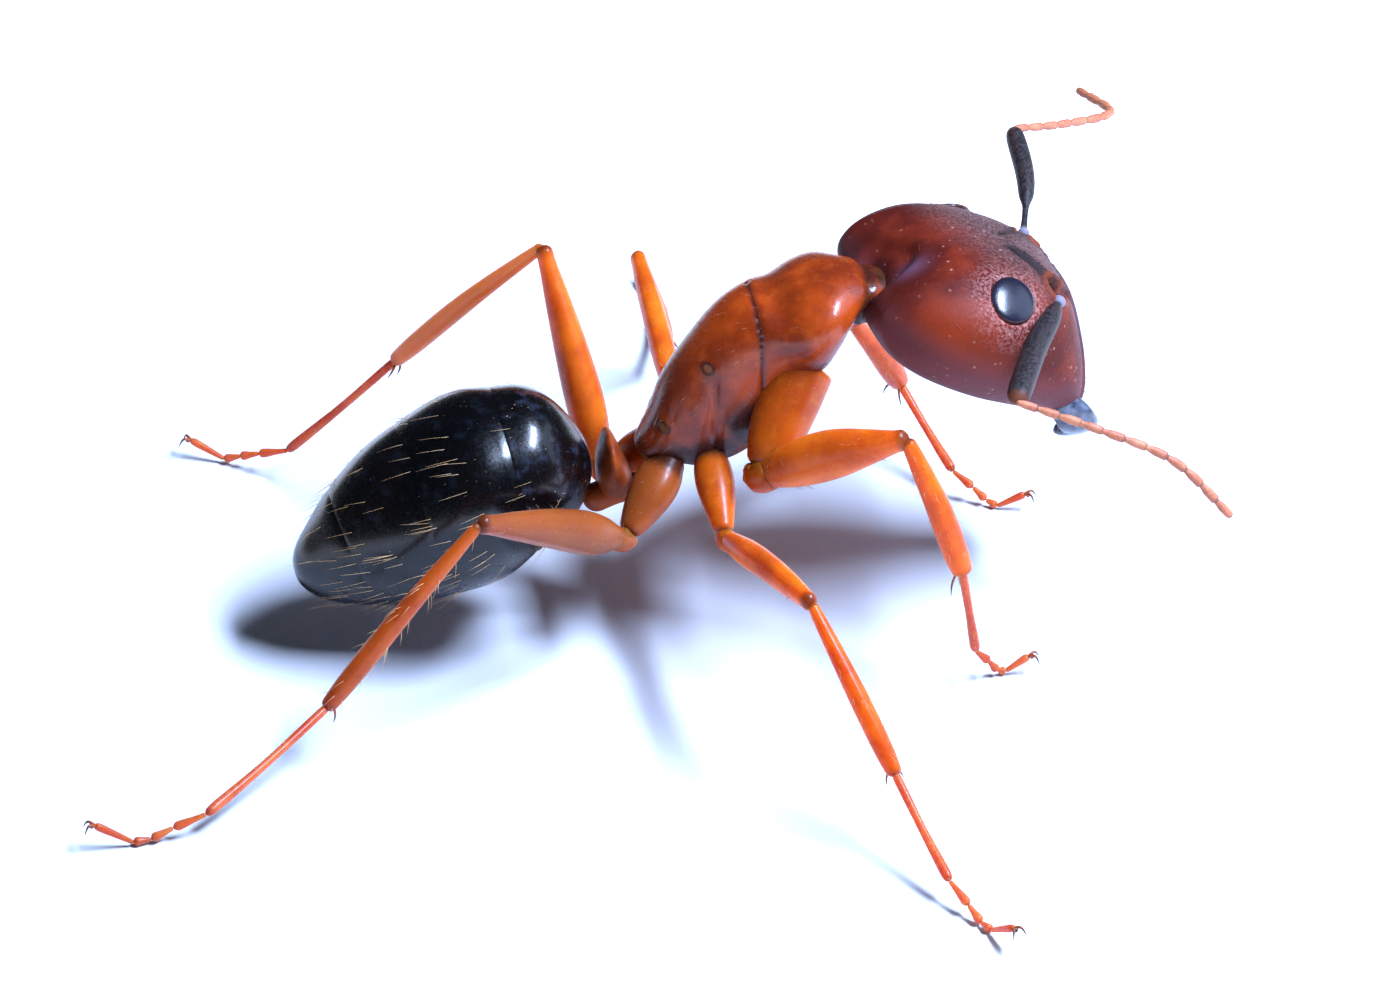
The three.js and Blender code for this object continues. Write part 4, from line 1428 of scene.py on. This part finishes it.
FLOOR_SIZE = 2.0
POOL_START = 9 * MM
POOL_END = 20 * MM
CAMERA_TURN = math.radians(-10)
CAMERA_RISE = math.radians(31)
CAMERA_AWAY = 140
CAMERA_AIM = Vector((1.859, 3.2, 0))
LENS = 226.8
LENS_SENSOR = 36
LAMP_PLACE = (38, 15, 68)
LAMP_WIDE = 14
LAMP_LONG = 42
LAMP_COLOUR = (0.54, 0.68, 1.0)
LAMP_POWER = 0.205
FILL_PLACE = (80, -10, 38)
FILL_SIZE = 60
FILL_POWER = 0.03
SKY_COLOUR = (0.64, 0.79, 1, 1)
SKY_STRENGTH = 0.045


def board_finish():
    """White board, which glows more and more outside the lamp's pool of light."""
    board = Finish("white_board")
    tooth = board.cloud(2.0, detail=3.0)
    white = board.mix(tooth.ramp(0.3, 0.7), (0.81, 0.83, 0.88, 1), (0.83, 0.85, 0.9, 1))
    away = board.node("ShaderNodeVectorMath", {"operation": "LENGTH"}, {0: board.place()}, "Value")
    glow = board.mix(away.ramp(POOL_START, POOL_END), (0, 0, 0, 1), (1, 1, 1, 1))
    return board.shell(
        base_color=white,
        roughness=tooth.ramp(0.3, 0.7, 0.85, 0.95),
        specular_ior_level=0.1,
        emission_color=glow,
        emission_strength=1.0,
    )


board_shape = bmesh.new()
bmesh.ops.create_grid(board_shape, x_segments=4, y_segments=4, size=FLOOR_SIZE / 2)
board_mesh = bpy.data.meshes.new("white_board")
board_shape.to_mesh(board_mesh)
board_shape.free()
board_mesh.materials.append(board_finish())
board = put("white_board", board_mesh)

facing = Matrix.Rotation(CAMERA_TURN, 4, "Z")
camera_right = facing @ Vector((1, 0, 0))
camera_level = facing @ Vector((0, -1, 0))
camera_back = camera_level * math.cos(CAMERA_RISE) + Vector((0, 0, math.sin(CAMERA_RISE)))
lens = bpy.data.cameras.new("camera")
lens.lens = LENS
lens.sensor_width = LENS_SENSOR
lens.clip_start = 5 * MM
lens.clip_end = 5
camera = put("camera", lens)
camera.location = (CAMERA_AIM + camera_back * CAMERA_AWAY) * MM
camera.rotation_mode = "QUATERNION"
camera.rotation_quaternion = (-camera_back).to_track_quat("-Z", "Y")
bpy.context.scene.camera = camera


def hang_lamp(name, place, wide, long, power):
    """A soft rectangular lamp that faces the ant. Its place is how far to the camera's right, how far
    towards the camera and how high it hangs, in millimetres from the camera's aim."""
    light = bpy.data.lights.new(name, "AREA")
    light.shape = "RECTANGLE"
    light.size = wide * MM
    light.size_y = long * MM
    light.color = LAMP_COLOUR
    light.energy = power
    right, near, up = place
    lamp_from = camera_right * right + camera_level * near + Vector((0, 0, up))
    lamp = put(name, light)
    lamp.location = (CAMERA_AIM + lamp_from) * MM
    lamp_axis = lamp_from.normalized()
    lamp_side = (camera_right - lamp_axis * camera_right.dot(lamp_axis)).normalized()
    lamp_turn = Matrix((lamp_side, lamp_axis.cross(lamp_side), lamp_axis)).transposed()
    lamp.rotation_mode = "QUATERNION"
    lamp.rotation_quaternion = lamp_turn.to_quaternion()


hang_lamp("soft_lamp", LAMP_PLACE, LAMP_WIDE, LAMP_LONG, LAMP_POWER)
hang_lamp("fill_lamp", FILL_PLACE, FILL_SIZE, FILL_SIZE, FILL_POWER)

# The camera sees plain white all round, and the ant is lit by a faint blue.
sky = Finish("studio", "worlds")
shown = sky.node("ShaderNodeBackground", {}, {"Color": (1, 1, 1, 1), "Strength": 1.0})
lit = sky.node("ShaderNodeBackground", {}, {"Color": SKY_COLOUR, "Strength": SKY_STRENGTH})
seen = sky.node("ShaderNodeLightPath", {}, {}, "Is Camera Ray")
both = sky.node("ShaderNodeMixShader", {}, {0: seen, 1: lit, 2: shown})
sky.node("ShaderNodeOutputWorld", {}, {"Surface": both})
bpy.context.scene.world = sky.owner
bpy.context.scene.view_settings.view_transform = "Standard"
